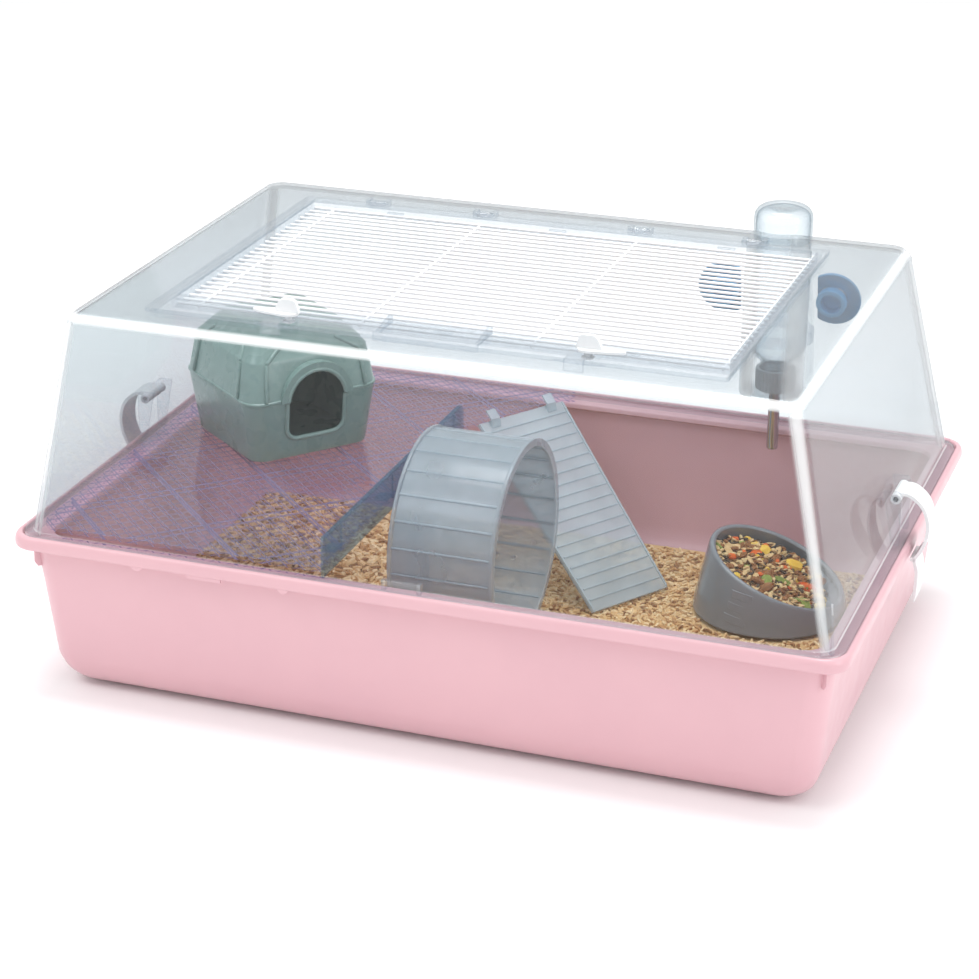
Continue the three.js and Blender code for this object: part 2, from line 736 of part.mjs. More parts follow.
function bedding() {
  return stack([tubRing(41, FLOOR_TOP + GAP), tubRing(31, 7.6), tubRing(26.4, BEDDING_TOP)]);
}

// ---------- drinker ----------
function bottle() {
  const { x, y, r, top } = BOTTLE;
  return turned([
    [0, top], [12, top - 0.5], [17.6, top - 2.6], [r, top - 7.6], [r, 177], [19, 172], [12.2, 167.6],
    [11.4, 165], [11.4, 153.6], [9.9, 153.6], [9.9, 166], [17.6, 173], [r - 1.4, 178],
    [r - 1.4, top - 8], [16.4, top - 4.1], [11.4, top - 2], [0, top - 1.6],
  ], x, y, 24, false);
}

function bottleCap() {
  return turned([
    [4.5, 145], [14.5, 145], [14.5, 160.6], [11.8, 160.6], [11.8, 150.8], [4.5, 150.8],
  ], BOTTLE.x, BOTTLE.y, 28, true);
}

function bottleSeal() {
  return turned([[4.5, 151.1], [11.3, 151.1], [11.3, 153.2], [4.5, 153.2]], BOTTLE.x, BOTTLE.y, 20, true);
}

function spoutTube() {
  return turned([
    [2.7, 98.6], [3.6, 98.8], [4.1, 99.8], [4.1, 153.6], [8, 153.6], [8, 155], [3.2, 155],
    [3.2, 100.4], [2.7, 99.4],
  ], BOTTLE.x, BOTTLE.y, 20, true);
}

function spoutBall() {
  const geometry = new THREE.SphereGeometry(2.85, 16, 8);
  geometry.translate(BOTTLE.x, BOTTLE.y, 101.1);
  return solid(geometry);
}

// Round plug with one flat side towards the bottle and a finger bar outside.
function portPlug(side) {
  const outline = [];
  const open = THREE.MathUtils.radToDeg(Math.acos(PORT.flat / PORT.r));
  for (let i = 0; i <= 28; i += 1) {
    const a = THREE.MathUtils.degToRad(open + ((360 - 2 * open) * i) / 28);
    outline.push([PORT.r * Math.cos(a), PORT.r * Math.sin(a)]);
  }
  const disc = plate(outline, 2.8);
  if (side > 0) disc.rotateZ(Math.PI);
  disc.translate(0, 0, 0.4);
  const barrel = new THREE.CylinderGeometry(PORT.bore - GAP, PORT.bore - GAP, 9, 32);
  barrel.rotateX(Math.PI / 2);
  barrel.translate(0, 0, -2.6);
  const bar = new THREE.BoxGeometry(3, 20, 5);
  bar.translate(0, 0, 5);
  const frame = backWallFrame(BOTTLE.x + side * PORT.dx);
  return union([disc, barrel, bar].map((piece) => solid(piece.applyMatrix4(frame))));
}

// ---------- assembly ----------
const PINK = 0xf0c3c9;
const CLEAR = 0xdfe9ee;
const BLUE_CLEAR = 0x9fb4dc;
const WHITE = 0xf4f2ec;
const SAGE = 0x8fa8a0;

addPiece('tub', tub(), PINK, 0.35);
addPiece('cover', cover(), CLEAR, 0.06, 0, 0.25);
addPiece('door_frame', doorFrame(), CLEAR, 0.1, 0, 0.4);
addPiece('door_grille', doorGrille(), WHITE, 0.35);
addPiece('turn_latch_left', turnLatch(-1), WHITE, 0.4);
addPiece('turn_latch_right', turnLatch(1), WHITE, 0.4);
addPiece('side_clip_left', sideClip(-1), WHITE, 0.4);
addPiece('side_clip_right', sideClip(1), WHITE, 0.4);
addPiece('platform', platform(), BLUE_CLEAR, 0.12, 0, 0.4);
addPiece('platform_fence', platformFence(), 0x7fa6cf, 0.12, 0, 0.45);
addPiece('ramp', ramp(), 0xb4c6cc, 0.3, 0, 0.65);
addPiece('wheel_drum', wheelDrum(), 0xb9ced6, 0.2, 0, 0.55);
addPiece('wheel_axle', wheelAxle(), 0xd8dcdd, 0.3);
addPiece('wheel_stand', wheelStand(), 0xb9ced6, 0.25, 0, 0.6);
addPiece('wheel_cap', wheelCap(), 0xe6eaec, 0.3);
addPiece('house_base', houseBase(), SAGE, 0.35);
addPiece('house_roof', houseRoof(), SAGE, 0.35);
addPiece('food_bowl', foodBowl(), 0x70767c, 0.25);
addPiece('food_mix', foodMix(), 0xa8793f, 0.8);
addPiece('bedding', bedding(), 0xd6b07c, 0.9);
addPiece('bottle', bottle(), 0xe9f1f4, 0.05, 0, 0.25);
addPiece('bottle_cap', bottleCap(), 0xdde3e6, 0.3, 0, 0.7);
addPiece('bottle_seal', bottleSeal(), 0x9a9a98, 0.7);
addPiece('spout_tube', spoutTube(), 0xb9bcc0, 0.2, 1);
addPiece('spout_ball', spoutBall(), 0xcfd2d6, 0.12, 1);
addPiece('port_plug_left', portPlug(-1), 0x2d6690, 0.35);
addPiece('port_plug_right', portPlug(1), 0x2d6690, 0.35);

export default cage;
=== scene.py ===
import json
import math
import random

import bmesh
import bpy
from mathutils import Euler, Matrix, Vector


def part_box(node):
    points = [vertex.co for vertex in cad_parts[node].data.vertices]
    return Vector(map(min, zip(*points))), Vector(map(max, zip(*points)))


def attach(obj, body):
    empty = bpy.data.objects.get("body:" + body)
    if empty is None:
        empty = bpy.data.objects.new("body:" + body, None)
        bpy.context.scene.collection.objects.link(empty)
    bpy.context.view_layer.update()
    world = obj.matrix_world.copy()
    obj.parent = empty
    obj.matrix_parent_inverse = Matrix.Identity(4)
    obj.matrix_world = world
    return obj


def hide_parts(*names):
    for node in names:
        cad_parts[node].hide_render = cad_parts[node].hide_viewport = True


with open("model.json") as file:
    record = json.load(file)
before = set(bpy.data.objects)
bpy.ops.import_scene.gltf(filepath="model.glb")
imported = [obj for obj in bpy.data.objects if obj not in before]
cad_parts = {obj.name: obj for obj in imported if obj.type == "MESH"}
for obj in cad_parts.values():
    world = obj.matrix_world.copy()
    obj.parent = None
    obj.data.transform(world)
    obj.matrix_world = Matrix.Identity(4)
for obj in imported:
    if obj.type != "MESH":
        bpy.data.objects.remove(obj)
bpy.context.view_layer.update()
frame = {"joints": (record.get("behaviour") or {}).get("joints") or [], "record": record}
random.seed(7)
MM = 0.001
BODY_OF = {n: b for b, ns in frame["record"]["behaviour"]["bodies"].items() for n in ns}
JOINT = {j["name"]: j for j in frame["joints"]}


def mm_box(node):
    lo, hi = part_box(node)
    return [v * 1000 for v in lo], [v * 1000 for v in hi]


def joint_at(name):
    return [v * 1000 for v in JOINT[name]["pos_m"]]


# ---------- mesh helpers, all in millimetres ----------
def finish_mesh(name, bm, smooth=35, bevel=0.0):
    bmesh.ops.remove_doubles(bm, verts=bm.verts, dist=1e-4)
    bmesh.ops.recalc_face_normals(bm, faces=bm.faces)
    bmesh.ops.scale(bm, vec=(MM, MM, MM), verts=bm.verts)
    mesh = bpy.data.meshes.new(name)
    bm.to_mesh(mesh)
    bm.free()
    obj = bpy.data.objects.new(name, mesh)
    bpy.context.scene.collection.objects.link(obj)
    mesh.shade_smooth()
    mesh.set_sharp_from_angle(angle=math.radians(smooth))
    if bevel:
        add_bevel(obj, bevel)
    return obj


def add_bevel(obj, width, segments=2, limit=40):
    mod = obj.modifiers.new("bevel", "BEVEL")
    mod.width = width * MM
    mod.segments = segments
    mod.limit_method = "ANGLE"
    mod.angle_limit = math.radians(limit)
    mod.harden_normals = True


def add_loops(bm, loops, closed=False, cap=True):
    """A skin through loops of points, capped at both ends or joined end to end."""
    rings = [[bm.verts.new(p) for p in pts] for pts in loops]
    count = len(rings[0])
    pairs = list(zip(rings, rings[1:]))
    if closed:
        pairs.append((rings[-1], rings[0]))
    for a, b in pairs:
        for j in range(count):
            k = (j + 1) % count
            bm.faces.new((a[j], a[k], b[k], b[j]))
    if cap and not closed:
        bm.faces.new(rings[0][::-1])
        bm.faces.new(rings[-1])


def rounded(half_x, front, back, r, z, steps=12):
    """A rectangle with round corners at height z."""
    pts = []
    corners = ((half_x - r, back - r, 0), (-half_x + r, back - r, 90),
               (-half_x + r, front + r, 180), (half_x - r, front + r, 270))
    for cx, cy, start in corners:
        for i in range(steps + 1):
            a = math.radians(start + 90 * i / steps)
            pts.append((cx + r * math.cos(a), cy + r * math.sin(a), z))
    return pts


def add_block(bm, x0, x1, y0, y1, z0, z1):
    add_loops(bm, [[(x0, y0, z), (x1, y0, z), (x1, y1, z), (x0, y1, z)] for z in (z0, z1)])


def add_prism(bm, outline, matrix, depth):
    """An outline in the matrix's own XY plane, pushed along its Z."""
    add_loops(bm, [[matrix @ Vector((a, b, d)) for a, b in outline] for d in (0, depth)])


def axes(x, y, origin=(0, 0, 0)):
    """A frame whose own X and Y run along the two given directions."""
    x, y = Vector(x).normalized(), Vector(y).normalized()
    m = Matrix((x, y, x.cross(y))).transposed().to_4x4()
    m.translation = Vector(origin)
    return m


def facing_front(y=0.0, x=0.0, z=0.0):
    """Own X to the right and own Y up, so that own Z looks to the front."""
    return axes((1, 0, 0), (0, 0, 1), (x, y, z))


def facing_right(x=0.0, y=0.0, z=0.0):
    """Own X to the back and own Y up, so that own Z looks to the right."""
    return axes((0, 1, 0), (0, 0, 1), (x, y, z))


def centred(m, depth):
    """The same frame moved back, so that a prism of this depth has it in the middle."""
    return m @ Matrix.Translation((0, 0, -depth / 2))


def add_lathe(bm, profile, matrix, segments=48, closed=False):
    """Profile of (radius, height) about the matrix's own Z; radius 0 ends are closed by small discs."""
    loops = []
    for r, h in profile:
        r = max(r, 0.02)
        loops.append([matrix @ Vector((r * math.cos(t), r * math.sin(t), h))
                      for t in (2 * math.pi * i / segments for i in range(segments))])
    add_loops(bm, loops, closed=closed)


def add_washer(bm, inner, outer, h0, h1, matrix, segments):
    add_lathe(bm, [(inner, h0), (outer, h0), (outer, h1), (inner, h1)], matrix, segments, closed=True)


def add_rod(bm, radius, a, b, segments=12, edge=0.0):
    a, b = Vector(a), Vector(b)
    d = (b - a).normalized()
    side = d.orthogonal().normalized()
    m = axes(side, d.cross(side), a)
    length = (b - a).length
    e = edge or radius * 0.2
    profile = [(0, 0), (radius - e, 0), (radius - 0.3 * e, 0.3 * e), (radius, e),
               (radius, length - e), (radius - 0.3 * e, length - 0.3 * e), (radius - e, length), (0, length)]
    add_lathe(bm, profile, m, segments)


def around(at, r, a):
    return at[0] + r * math.cos(a), at[1] + r * math.sin(a)


def arc(cx, cz, r, a0, a1, steps):
    out = []
    for i in range(steps + 1):
        a = math.radians(a0 + (a1 - a0) * i / steps)
        out.append((cx + r * math.cos(a), cz + r * math.sin(a)))
    return out


def solid(bm):
    """A bmesh made into a plain object for the cuts below."""
    return finish_mesh("cutter", bm)


def cut(target, tool, operation="DIFFERENCE"):
    mod = target.modifiers.new("cut", "BOOLEAN")
    mod.operation = operation
    mod.solver = "EXACT"
    mod.object = tool
    deps = bpy.context.evaluated_depsgraph_get()
    made = bpy.data.meshes.new_from_object(target.evaluated_get(deps))
    target.modifiers.clear()
    target.data = made
    bpy.data.objects.remove(tool)


def reopen(obj):
    """The object's mesh as a bmesh in millimetres; the object itself goes."""
    bm = bmesh.new()
    bm.from_mesh(obj.data)
    bmesh.ops.scale(bm, vec=(1 / MM, 1 / MM, 1 / MM), verts=bm.verts)
    bpy.data.objects.remove(obj)
    return bm


def block_object(*sizes):
    bm = bmesh.new()
    add_block(bm, *sizes)
    return solid(bm)


def place(obj, node, slot, *materials):
    for material in materials:
        obj.data.materials.append(material)
    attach(obj, BODY_OF[node])
    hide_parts(node)
    return obj


# ---------- material helpers ----------
class Nodes:
    def __init__(self, name):
        self.material = bpy.data.materials.new(name)
        self.material.use_nodes = True
        self.tree = self.material.node_tree
        self.tree.nodes.clear()
        self.out = self.add("ShaderNodeOutputMaterial")

    def add(self, kind, **values):
        node = self.tree.nodes.new(kind)
        for key, value in values.items():
            setattr(node, key, value)
        return node

    def link(self, a, b):
        self.tree.links.new(a, b)

    def math(self, operation, a, b=0.0, c=None):
        node = self.add("ShaderNodeMath", operation=operation)
        for i, v in enumerate((a, b, c)):
            if v is None:
                continue
            if isinstance(v, (int, float)):
                node.inputs[i].default_value = v
            else:
                self.link(v, node.inputs[i])
        return node.outputs[0]

    def mix(self, factor, a, b):
        node = self.add("ShaderNodeMix", data_type="RGBA")
        for socket, v in ((node.inputs[0], factor), (node.inputs[6], a), (node.inputs[7], b)):
            if isinstance(v, (int, float)):
                socket.default_value = v
            elif isinstance(v, tuple):
                socket.default_value = (*v, 1)
            else:
                self.link(v, socket)
        return node.outputs[2]

    def blend(self, factor, a, b):
        node = self.add("ShaderNodeMixShader")
        for socket, output in zip(node.inputs, (factor, a, b)):
            self.link(output, socket)
        return node.outputs[0]

    def coords(self):
        return self.add("ShaderNodeTexCoord").outputs["Object"]

    def noise(self, scale, detail=2.0, rough=0.5):
        node = self.add("ShaderNodeTexNoise")
        node.inputs["Scale"].default_value = scale
        node.inputs["Detail"].default_value = detail
        node.inputs["Roughness"].default_value = rough
        self.link(self.coords(), node.inputs["Vector"])
        return node.outputs["Fac"]

    def scaled(self, value, low, high):
        node = self.add("ShaderNodeMapRange")
        self.link(value, node.inputs["Value"])
        node.inputs["From Min"].default_value = 0.3
        node.inputs["From Max"].default_value = 0.7
        node.inputs["To Min"].default_value = low
        node.inputs["To Max"].default_value = high
        return node.outputs["Result"]

    def bump(self, height, strength, distance):
        node = self.add("ShaderNodeBump")
        node.inputs["Strength"].default_value = strength
        node.inputs["Distance"].default_value = distance
        self.link(height, node.inputs["Height"])
        return node.outputs["Normal"]


def linear(rgb):
    return tuple((v / 255 / 12.92) if v <= 10 else ((v / 255 + 0.055) / 1.055) ** 2.4 for v in rgb)


def plastic(name, dark, light, rough, grain=900, bump=0.05, metal=0.0, coat=0.0):
    """Moulded plastic, rubber or metal: cloudy colour, uneven gloss and a fine moulded grain."""
    n = Nodes(name)
    shader = n.add("ShaderNodeBsdfPrincipled")
    n.link(n.mix(n.scaled(n.noise(14, 3), 0, 1), linear(dark), linear(light)), shader.inputs["Base Color"])
    n.link(n.scaled(n.noise(70, 4), rough[0], rough[1]), shader.inputs["Roughness"])
    n.link(n.bump(n.noise(grain, 2), bump, 0.0002), shader.inputs["Normal"])
    shader.inputs["Metallic"].default_value = metal
    shader.inputs["Coat Weight"].default_value = coat
    shader.inputs["Coat Roughness"].default_value = 0.08
    n.link(shader.outputs[0], n.out.inputs["Surface"])
    return n.material


def painted_corner_highlight(n):
    """Painted highlight: a mask that makes the rounded corners of the hood milky white all along, where the
    skin turns from one wall to the next, standing in for the light they catch.
    """
    sep = n.add("ShaderNodeSeparateXYZ")
    n.link(n.add("ShaderNodeNewGeometry").outputs["Normal"], sep.inputs[0])
    x, y, z = (n.math("POWER", n.math("ABSOLUTE", sep.outputs[i]), 2.0) for i in range(3))
    level = n.math("MULTIPLY", n.math("MULTIPLY", z, n.math("SUBTRACT", 1.0, z)), 4.0)
    upright = n.math("MULTIPLY", n.math("MULTIPLY", x, y), 4.0)
    ramp = n.add("ShaderNodeMapRange", interpolation_type="SMOOTHSTEP")
    n.link(n.math("MAXIMUM", level, upright), ramp.inputs["Value"])
    ramp.inputs["From Min"].default_value = 0.3
    ramp.inputs["From Max"].default_value = 0.95
    ramp.inputs["To Max"].default_value = 0.5
    return ramp.outputs["Result"]


def clear(name, face, edge, haze=0.0, haze_groove_and_painted_highlight_colour=(255, 255, 255), rough=0.03, f0=0.04, lines=None,
          power=2.0):
    """Clear moulded plastic as a film that tints what is behind it, more so edge-on, and reflects; a flat
    diffuse colour mixed in shows haze, grooves and painted highlight bands.
    """
    n = Nodes(name)
    weight = n.add("ShaderNodeLayerWeight")
    weight.inputs["Blend"].default_value = 0.5
    facing = weight.outputs["Facing"]
    tint = n.mix(n.math("POWER", facing, power), linear(face), linear(edge))
    body = n.add("ShaderNodeBsdfTransparent")
    n.link(tint, body.inputs["Color"])
    haze_groove_and_painted_highlight_diffuse = n.add("ShaderNodeBsdfDiffuse")
    haze_groove_and_painted_highlight_diffuse.inputs["Color"].default_value = (*linear(haze_groove_and_painted_highlight_colour), 1)
    haze_groove_and_painted_highlight_mask = n.scaled(n.noise(25, 3), haze * 0.8, haze * 1.2)
    # The lines mask adds the platform's grooves, and on the hood the painted highlight bands along its
    # rounded corners.
    if lines:
        haze_groove_and_painted_highlight_mask = n.math("MAXIMUM", haze_groove_and_painted_highlight_mask, lines(n))
    gloss = n.add("ShaderNodeBsdfGlossy")
    n.link(n.scaled(n.noise(40, 2), rough * 0.6, rough * 1.6), gloss.inputs["Roughness"])
    n.link(n.bump(n.noise(6, 1), 0.05, 0.001), gloss.inputs["Normal"])
    shine = n.math("MULTIPLY_ADD", n.math("POWER", facing, 5.0), 1 - f0, f0)
    film = n.blend(haze_groove_and_painted_highlight_mask, body.outputs[0], haze_groove_and_painted_highlight_diffuse.outputs[0])
    n.link(n.blend(shine, film, gloss.outputs[0]), n.out.inputs["Surface"])
    return n.material


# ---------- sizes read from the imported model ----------
tub_hi = mm_box("tub")[1]
RIM_X, RIM_Y, RIM_TOP = tub_hi[0], tub_hi[1], tub_hi[2]
cover_lo = mm_box("cover")[0]
LEDGE = cover_lo[2] - 0.3
LIP_TOP = cover_lo[2] + 3.2
LIP_X, LIP_Y = RIM_X - 4.6, RIM_Y - 4.6
ROOF_Z = mm_box("door_frame")[0][2] + 5.8
door_lo, door_hi = mm_box("door_frame")
PIN = joint_at("door_hinge")
LATCH = joint_at("latch_right_turn")
BOTTLE_AT = joint_at("cap_turn")
BOTTLE_AXIS = Matrix.Translation((BOTTLE_AT[0], BOTTLE_AT[1], 0))
bottle_lo, bottle_hi = mm_box("bottle")
BOTTLE_R = (bottle_hi[0] - bottle_lo[0]) / 2
CLIP = joint_at("clip_right_swing")
PIN_Y = CLIP[1]
HINGES = (-137, -56.5, 56.5, 137)
HUB = joint_at("wheel_spin")
PLAT_RIGHT = mm_box("platform_fence")[1][0] - 2.2
house_lo, house_hi = mm_box("house_roof")
HOUSE_AT = ((house_lo[0] + house_hi[0]) / 2, (house_lo[1] + house_hi[1]) / 2)
bowl_lo, bowl_hi = mm_box("food_bowl")
BOWL_AT = ((bowl_lo[0] + bowl_hi[0]) / 2, (bowl_lo[1] + bowl_hi[1]) / 2)
BOWL_SLOPE = (-0.4, 0.03)
BOWL_RIM = 46.5
BOWL_FOOT, BOWL_TAPER = (bowl_hi[0] - bowl_lo[0]) / 2, 0.21
HOUSE_TURN = math.radians(51.2)

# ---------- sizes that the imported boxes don't give ----------
RIM_CORNER = 16
TUB_WALL, TUB_WALL_INSET, TUB_WALL_LEAN = 2.5, 20.1, 0.095
HOOD_WALL = 2.2
HOOD_FOOT = (266.6, 184.2)
HOOD_LEAN = {"side": 29.2, "front": 8, "back": 29.7}
DOOR_HOLE = (182.5, -124.0, 106.0)
PLUG_SIDE = 38.5
FENCE_SLOTS = (-82.5, -36.5)
FENCE_TABS = (-150, -59.5, 60)


# ---------- tub ----------
def tub_ring(inset, z):
    return rounded(RIM_X - inset, -RIM_Y + inset, RIM_Y - inset, RIM_CORNER, z, 14)


def wall_inset(z):
    return TUB_WALL_INSET - TUB_WALL_LEAN * z


def make_tub():
    profile = [(45, 0), (44.2, 0.3), (44, 1.4), (41, 1.5), (38, 1.6), (34.4, 2.3), (31, 3.4), (27.6, 5.4),
               (24.8, 8),
               (22.4, 11.2), (20.8, 14.5), (19, 19.4), (wall_inset(24), 24), (wall_inset(60), 60),
               (wall_inset(104), 104), (wall_inset(107), 107), (9.2, 107.5), (3.2, 107.6), (2.4, 107.4),
               (2.2, 107), (2.2, 105.8), (1.9, 105.45), (1, 105.4), (0.4, 105.6), (0.1, 106.2), (0, 107),
               (0, 109), (0.2, 110.8), (0.7, 112.4), (1.4, 113.5),
               (2.2, 114.05), (2.9, RIM_TOP), (3.5, 114.0), (3.95, 113.5), (4.1, 112.6), (4.2, LEDGE),
               (18.0, LEDGE), (18.7, LEDGE - 0.3), (19, LEDGE - 1.2), (19.3, 107),
               (wall_inset(103.5) + TUB_WALL, 103.5), (wall_inset(60) + TUB_WALL, 60),
               (wall_inset(24) + TUB_WALL, 24),
               (23.4, 15.6), (27, 9.9), (32.4, 5.8), (40, 4)]
    bm = bmesh.new()
    add_loops(bm, [tub_ring(i, z) for i, z in profile])
    for sx in (-1, 1):
        for sy in (-1, 1):
            along = (sx, sy, 0)
            base = Vector((sx * (RIM_X - 15.4), sy * (RIM_Y - 15.4), 89)) - Vector(along).normalized() * 3.5
            web = [(0, 0), (5, 0), (7, 3), (7, 19), (0, 19)]
            add_prism(bm, web, centred(axes(along, (0, 0, 1), base), 2), 2)
    for x in (-184, -82):
        add_rod(bm, 4.4, (x, -RIM_Y + 0.45, 106.8), (x, -RIM_Y + 2.15, 106.8), 28)
    add_block(bm, -148, -125, -RIM_Y + 0.5, -RIM_Y + 2.1, 103.4, 107)
    return finish_mesh("tub_shell", bm, 50)


# ---------- hood ----------
def hood_ring(z, inset=0.0):
    t = (z - LIP_TOP) / (ROOF_Z - LIP_TOP)
    r = 11 + 2 * t - 0.5 * inset
    return (HOOD_FOOT[0] - HOOD_LEAN["side"] * t - inset, -HOOD_FOOT[1] + HOOD_LEAN["front"] * t + inset,
            HOOD_FOOT[1] - HOOD_LEAN["back"] * t - inset, r, z)


def roof_edge(inset, fillet=10.0, steps=9):
    rings = []
    radius = fillet - inset
    base = ROOF_Z - fillet
    for i in range(steps + 1):
        a = math.radians(90 * i / steps)
        half, front, back, _, _ = hood_ring(base, inset + radius * (1 - math.cos(a)))
        r = 13 - 0.5 * (fillet - radius * math.cos(a))
        rings.append((half, front, back, r, base + radius * math.sin(a)))
    return rings


def niche(radius, bottom, top):
    pts = [(BOTTLE_AT[0] + radius, BOTTLE_AT[1] + 80), (BOTTLE_AT[0] - radius, BOTTLE_AT[1] + 80)]
    pts += [(BOTTLE_AT[0] + x, BOTTLE_AT[1] + y) for x, y in arc(0, 0, radius, 180, 360, 40)]
    bm = bmesh.new()
    add_prism(bm, pts, Matrix.Translation((0, 0, bottom)), top - bottom)
    return solid(bm)


def back_wall(x, z=216.0):
    t = (z - LIP_TOP) / (ROOF_Z - LIP_TOP)
    lean = math.atan2(HOOD_LEAN["back"], ROOF_Z - LIP_TOP)
    return Matrix.Translation((x, HOOD_FOOT[1] - HOOD_LEAN["back"] * t,
                               z)) @ Matrix.Rotation(-math.pi / 2 + lean, 4, "X")


def make_hood():
    flange = [(LIP_X, -LIP_Y, LIP_Y, 16.6, LEDGE + 0.3), (LIP_X, -LIP_Y, LIP_Y, 16.6, LIP_TOP - 0.9),
              (LIP_X - 0.3, -LIP_Y + 0.3, LIP_Y - 0.3, 16.4, LIP_TOP - 0.3),
              (LIP_X - 0.9, -LIP_Y + 0.9, LIP_Y - 0.9, 16, LIP_TOP),
              (LIP_X - 4.6, -LIP_Y + 4.6, LIP_Y - 4.6, 12.4, LIP_TOP),
              (LIP_X - 5.7, -LIP_Y + 5.7, LIP_Y - 5.7, 11.4, LIP_TOP + 0.4)]
    outside = flange + [hood_ring(LIP_TOP + 1.6)] + roof_edge(0)
    inside = [hood_ring(LEDGE - 2, HOOD_WALL)] + roof_edge(HOOD_WALL)
    bm = bmesh.new()
    add_loops(bm, [rounded(*r, steps=14) for r in outside])
    hood = finish_mesh("hood_shell", bm)
    bm = bmesh.new()
    add_loops(bm, [rounded(*r, steps=14) for r in inside])
    core = solid(bm)
    cut(core, niche(25.7, 142.3, 300))
    cut(hood, core)
    cut(hood, niche(23.5, 144.5, 300))
    bm = bmesh.new()
    add_rod(bm, 6.3, (BOTTLE_AT[0], BOTTLE_AT[1], 138), (BOTTLE_AT[0], BOTTLE_AT[1], 150), 40)
    cut(hood, solid(bm))
    cut(hood, block_object(-186.3, 186.3, -146.5, 116.3, ROOF_Z - 8, ROOF_Z + 8))
    for side in (-1, 1):
        bm = bmesh.new()
        m = back_wall(BOTTLE_AT[0] + side * PLUG_SIDE)
        add_lathe(bm, [(0, -8), (10.8, -8), (10.8, 8), (0, 8)], m, 48)
        cut(hood, solid(bm))
    hood.data.shade_smooth()
    hood.data.set_sharp_from_angle(angle=math.radians(32))
    add_bevel(hood, 0.35, limit=55)
    return hood


def make_hood_fittings():
    bm = bmesh.new()
    for side in (-1, 1):
        outline = [(265.6, 113.9), (270.2, 113.9), (271, 114.8), (271, 148), (268.6, 151), (258.6, 151)]
        outline = [(side * a, b) for a, b in outline]
        for y in (PIN_Y - 15.8, PIN_Y + 14.2):
            add_prism(bm, outline, facing_front(y + 1.6), 1.6)
        add_rod(bm, 1.5, (side * CLIP[0], CLIP[1] - 14.6, CLIP[2]), (side * CLIP[0], CLIP[1] + 14.6, CLIP[2]),
                20)
        for sy in (-1, 1):
            inner = 17.2 if sy < 0 else 13.8
            along = Vector((side, sy, 0)).normalized()
            fin = [(23.1, 113.7), (30, 113.7), (31, 114.8),
                   (inner + 9.5, 145), (inner + 8.6, 146), (inner + 0.4, 146)]
            m = axes(along, (0, 0, 1), (side * 245.6, sy * 163.2, 0))
            add_prism(bm, fin, centred(m, 1.6), 1.6)
    for x in HINGES:
        for end in (-1, 1):
            add_block(bm, x + end * 7 - 1.5, x + end * 7 + 1.5, PIN[1] - 1.9, PIN[1] + 5.5, ROOF_Z - 0.2,
                      PIN[2] + 2.2)
        add_rod(bm, 1.2, (x - 7, PIN[1], PIN[2]), (x + 7, PIN[1], PIN[2]), 20)
    for x in (-LATCH[0], LATCH[0]):
        add_block(bm, x - 6, x + 6, -168.2, -165.4, ROOF_Z - 0.3, 272.4)
        add_block(bm, x - 6, x + 6, -166, -158.6, 271, 272.4)
    for x0, x1 in ((-17, -14.4), (6.4, 9)):
        add_block(bm, x0, x1, -189.4, -184.9, LIP_TOP - 0.2, 120.5)
    add_block(bm, -17, 9, -189.4, -187, 117.6, 120.5)
    add_washer(bm, 23.9, 25.4, 182, 190, BOTTLE_AXIS, 64)
    return finish_mesh("hood_fittings", bm, bevel=0.35)


# ---------- roof door ----------
def add_frame(bm, outer, inner, z0, z1):
    """Rectangular ring; each rectangle is (x half, front, back)."""
    loops = []
    for (half, front, back), z in ((outer, z0), (outer, z1), (inner, z1), (inner, z0)):
        loops.append([(-half, front, z), (half, front, z), (half, back, z), (-half, back, z)])
    add_loops(bm, loops, closed=True)


def make_door():
    d = {"half": door_hi[0], "front": door_lo[1] + 2.4, "back": 110.5, "bottom": ROOF_Z + 0.3,
         "top": ROOF_Z + 3.3}
    bm = bmesh.new()
    add_frame(bm, (d["half"], d["front"], d["back"]), DOOR_HOLE, d["bottom"], d["top"])
    add_frame(bm, (185.0, -126.6, 108.6), DOOR_HOLE, 259.2, d["bottom"] + 0.05)
    add_frame(bm, DOOR_HOLE, (179.5, -121.0, 103.0), 259.2, 260.4)
    for x in (-120, 0, 120):
        add_block(bm, x - 6, x + 6, -124.2, -121.6, 262.9, 264.2)
        add_block(bm, x - 6, x + 6, 103.6, 106.2, 262.9, 264.2)
    for x in HINGES:
        add_washer(bm, 1.5, 2.4, -4.9, 4.9, facing_right(x, PIN[1], PIN[2]), 32)
        add_block(bm, x - 4.9, x + 4.9, d["back"] - 0.5, PIN[1] - 1.7, PIN[2] - 1.5, PIN[2] + 0.9)
    for x in (-LATCH[0], LATCH[0]):
        tongue = [(x - 16, d["front"] + 0.2), (x - 2, -157), (x, -157.6), (x + 2, -157),
                  (x + 16, d["front"] + 0.2)]
        add_prism(bm, tongue, Matrix.Translation((0, 0, d["bottom"])), 1.7)
        add_washer(bm, 2.9, 5.2, d["top"] - 0.2, d["top"] + 0.2, Matrix.Translation((x, LATCH[1], 0)), 36)
    add_block(bm, -34, 34, -131, -128.4, d["top"] - 0.05, 273)
    for x in (-34, 31.2):
        side = [(-129, 268.2), (-129, 273), (-133, 273), (-152, 269.8), (-152, 268.2)]
        add_prism(bm, side, facing_right(x), 2.8)
    add_block(bm, -34, 34, d["front"] - 2.4, d["front"] + 0.6, d["bottom"], 270.4)
    return finish_mesh("door_rail", bm, bevel=0.4)


def make_grille():
    lo, hi = mm_box("door_grille")
    wires, r = 27, 1.0
    bm = bmesh.new()
    front, back = lo[1] + 1, hi[1] - 1
    z = 261.9
    for i in range(wires):
        y = front + (back - front) * i / (wires - 1)
        add_rod(bm, r, (lo[0], y, z), (hi[0], y, z), 12, 0.5)
    for x in (-167, -57, 57, 178):
        add_rod(bm, 1.05, (x, front - 0.9, z - 0.75), (x, back + 0.9, z - 0.75), 14, 0.5)
    return finish_mesh("grille_wires", bm, 60)


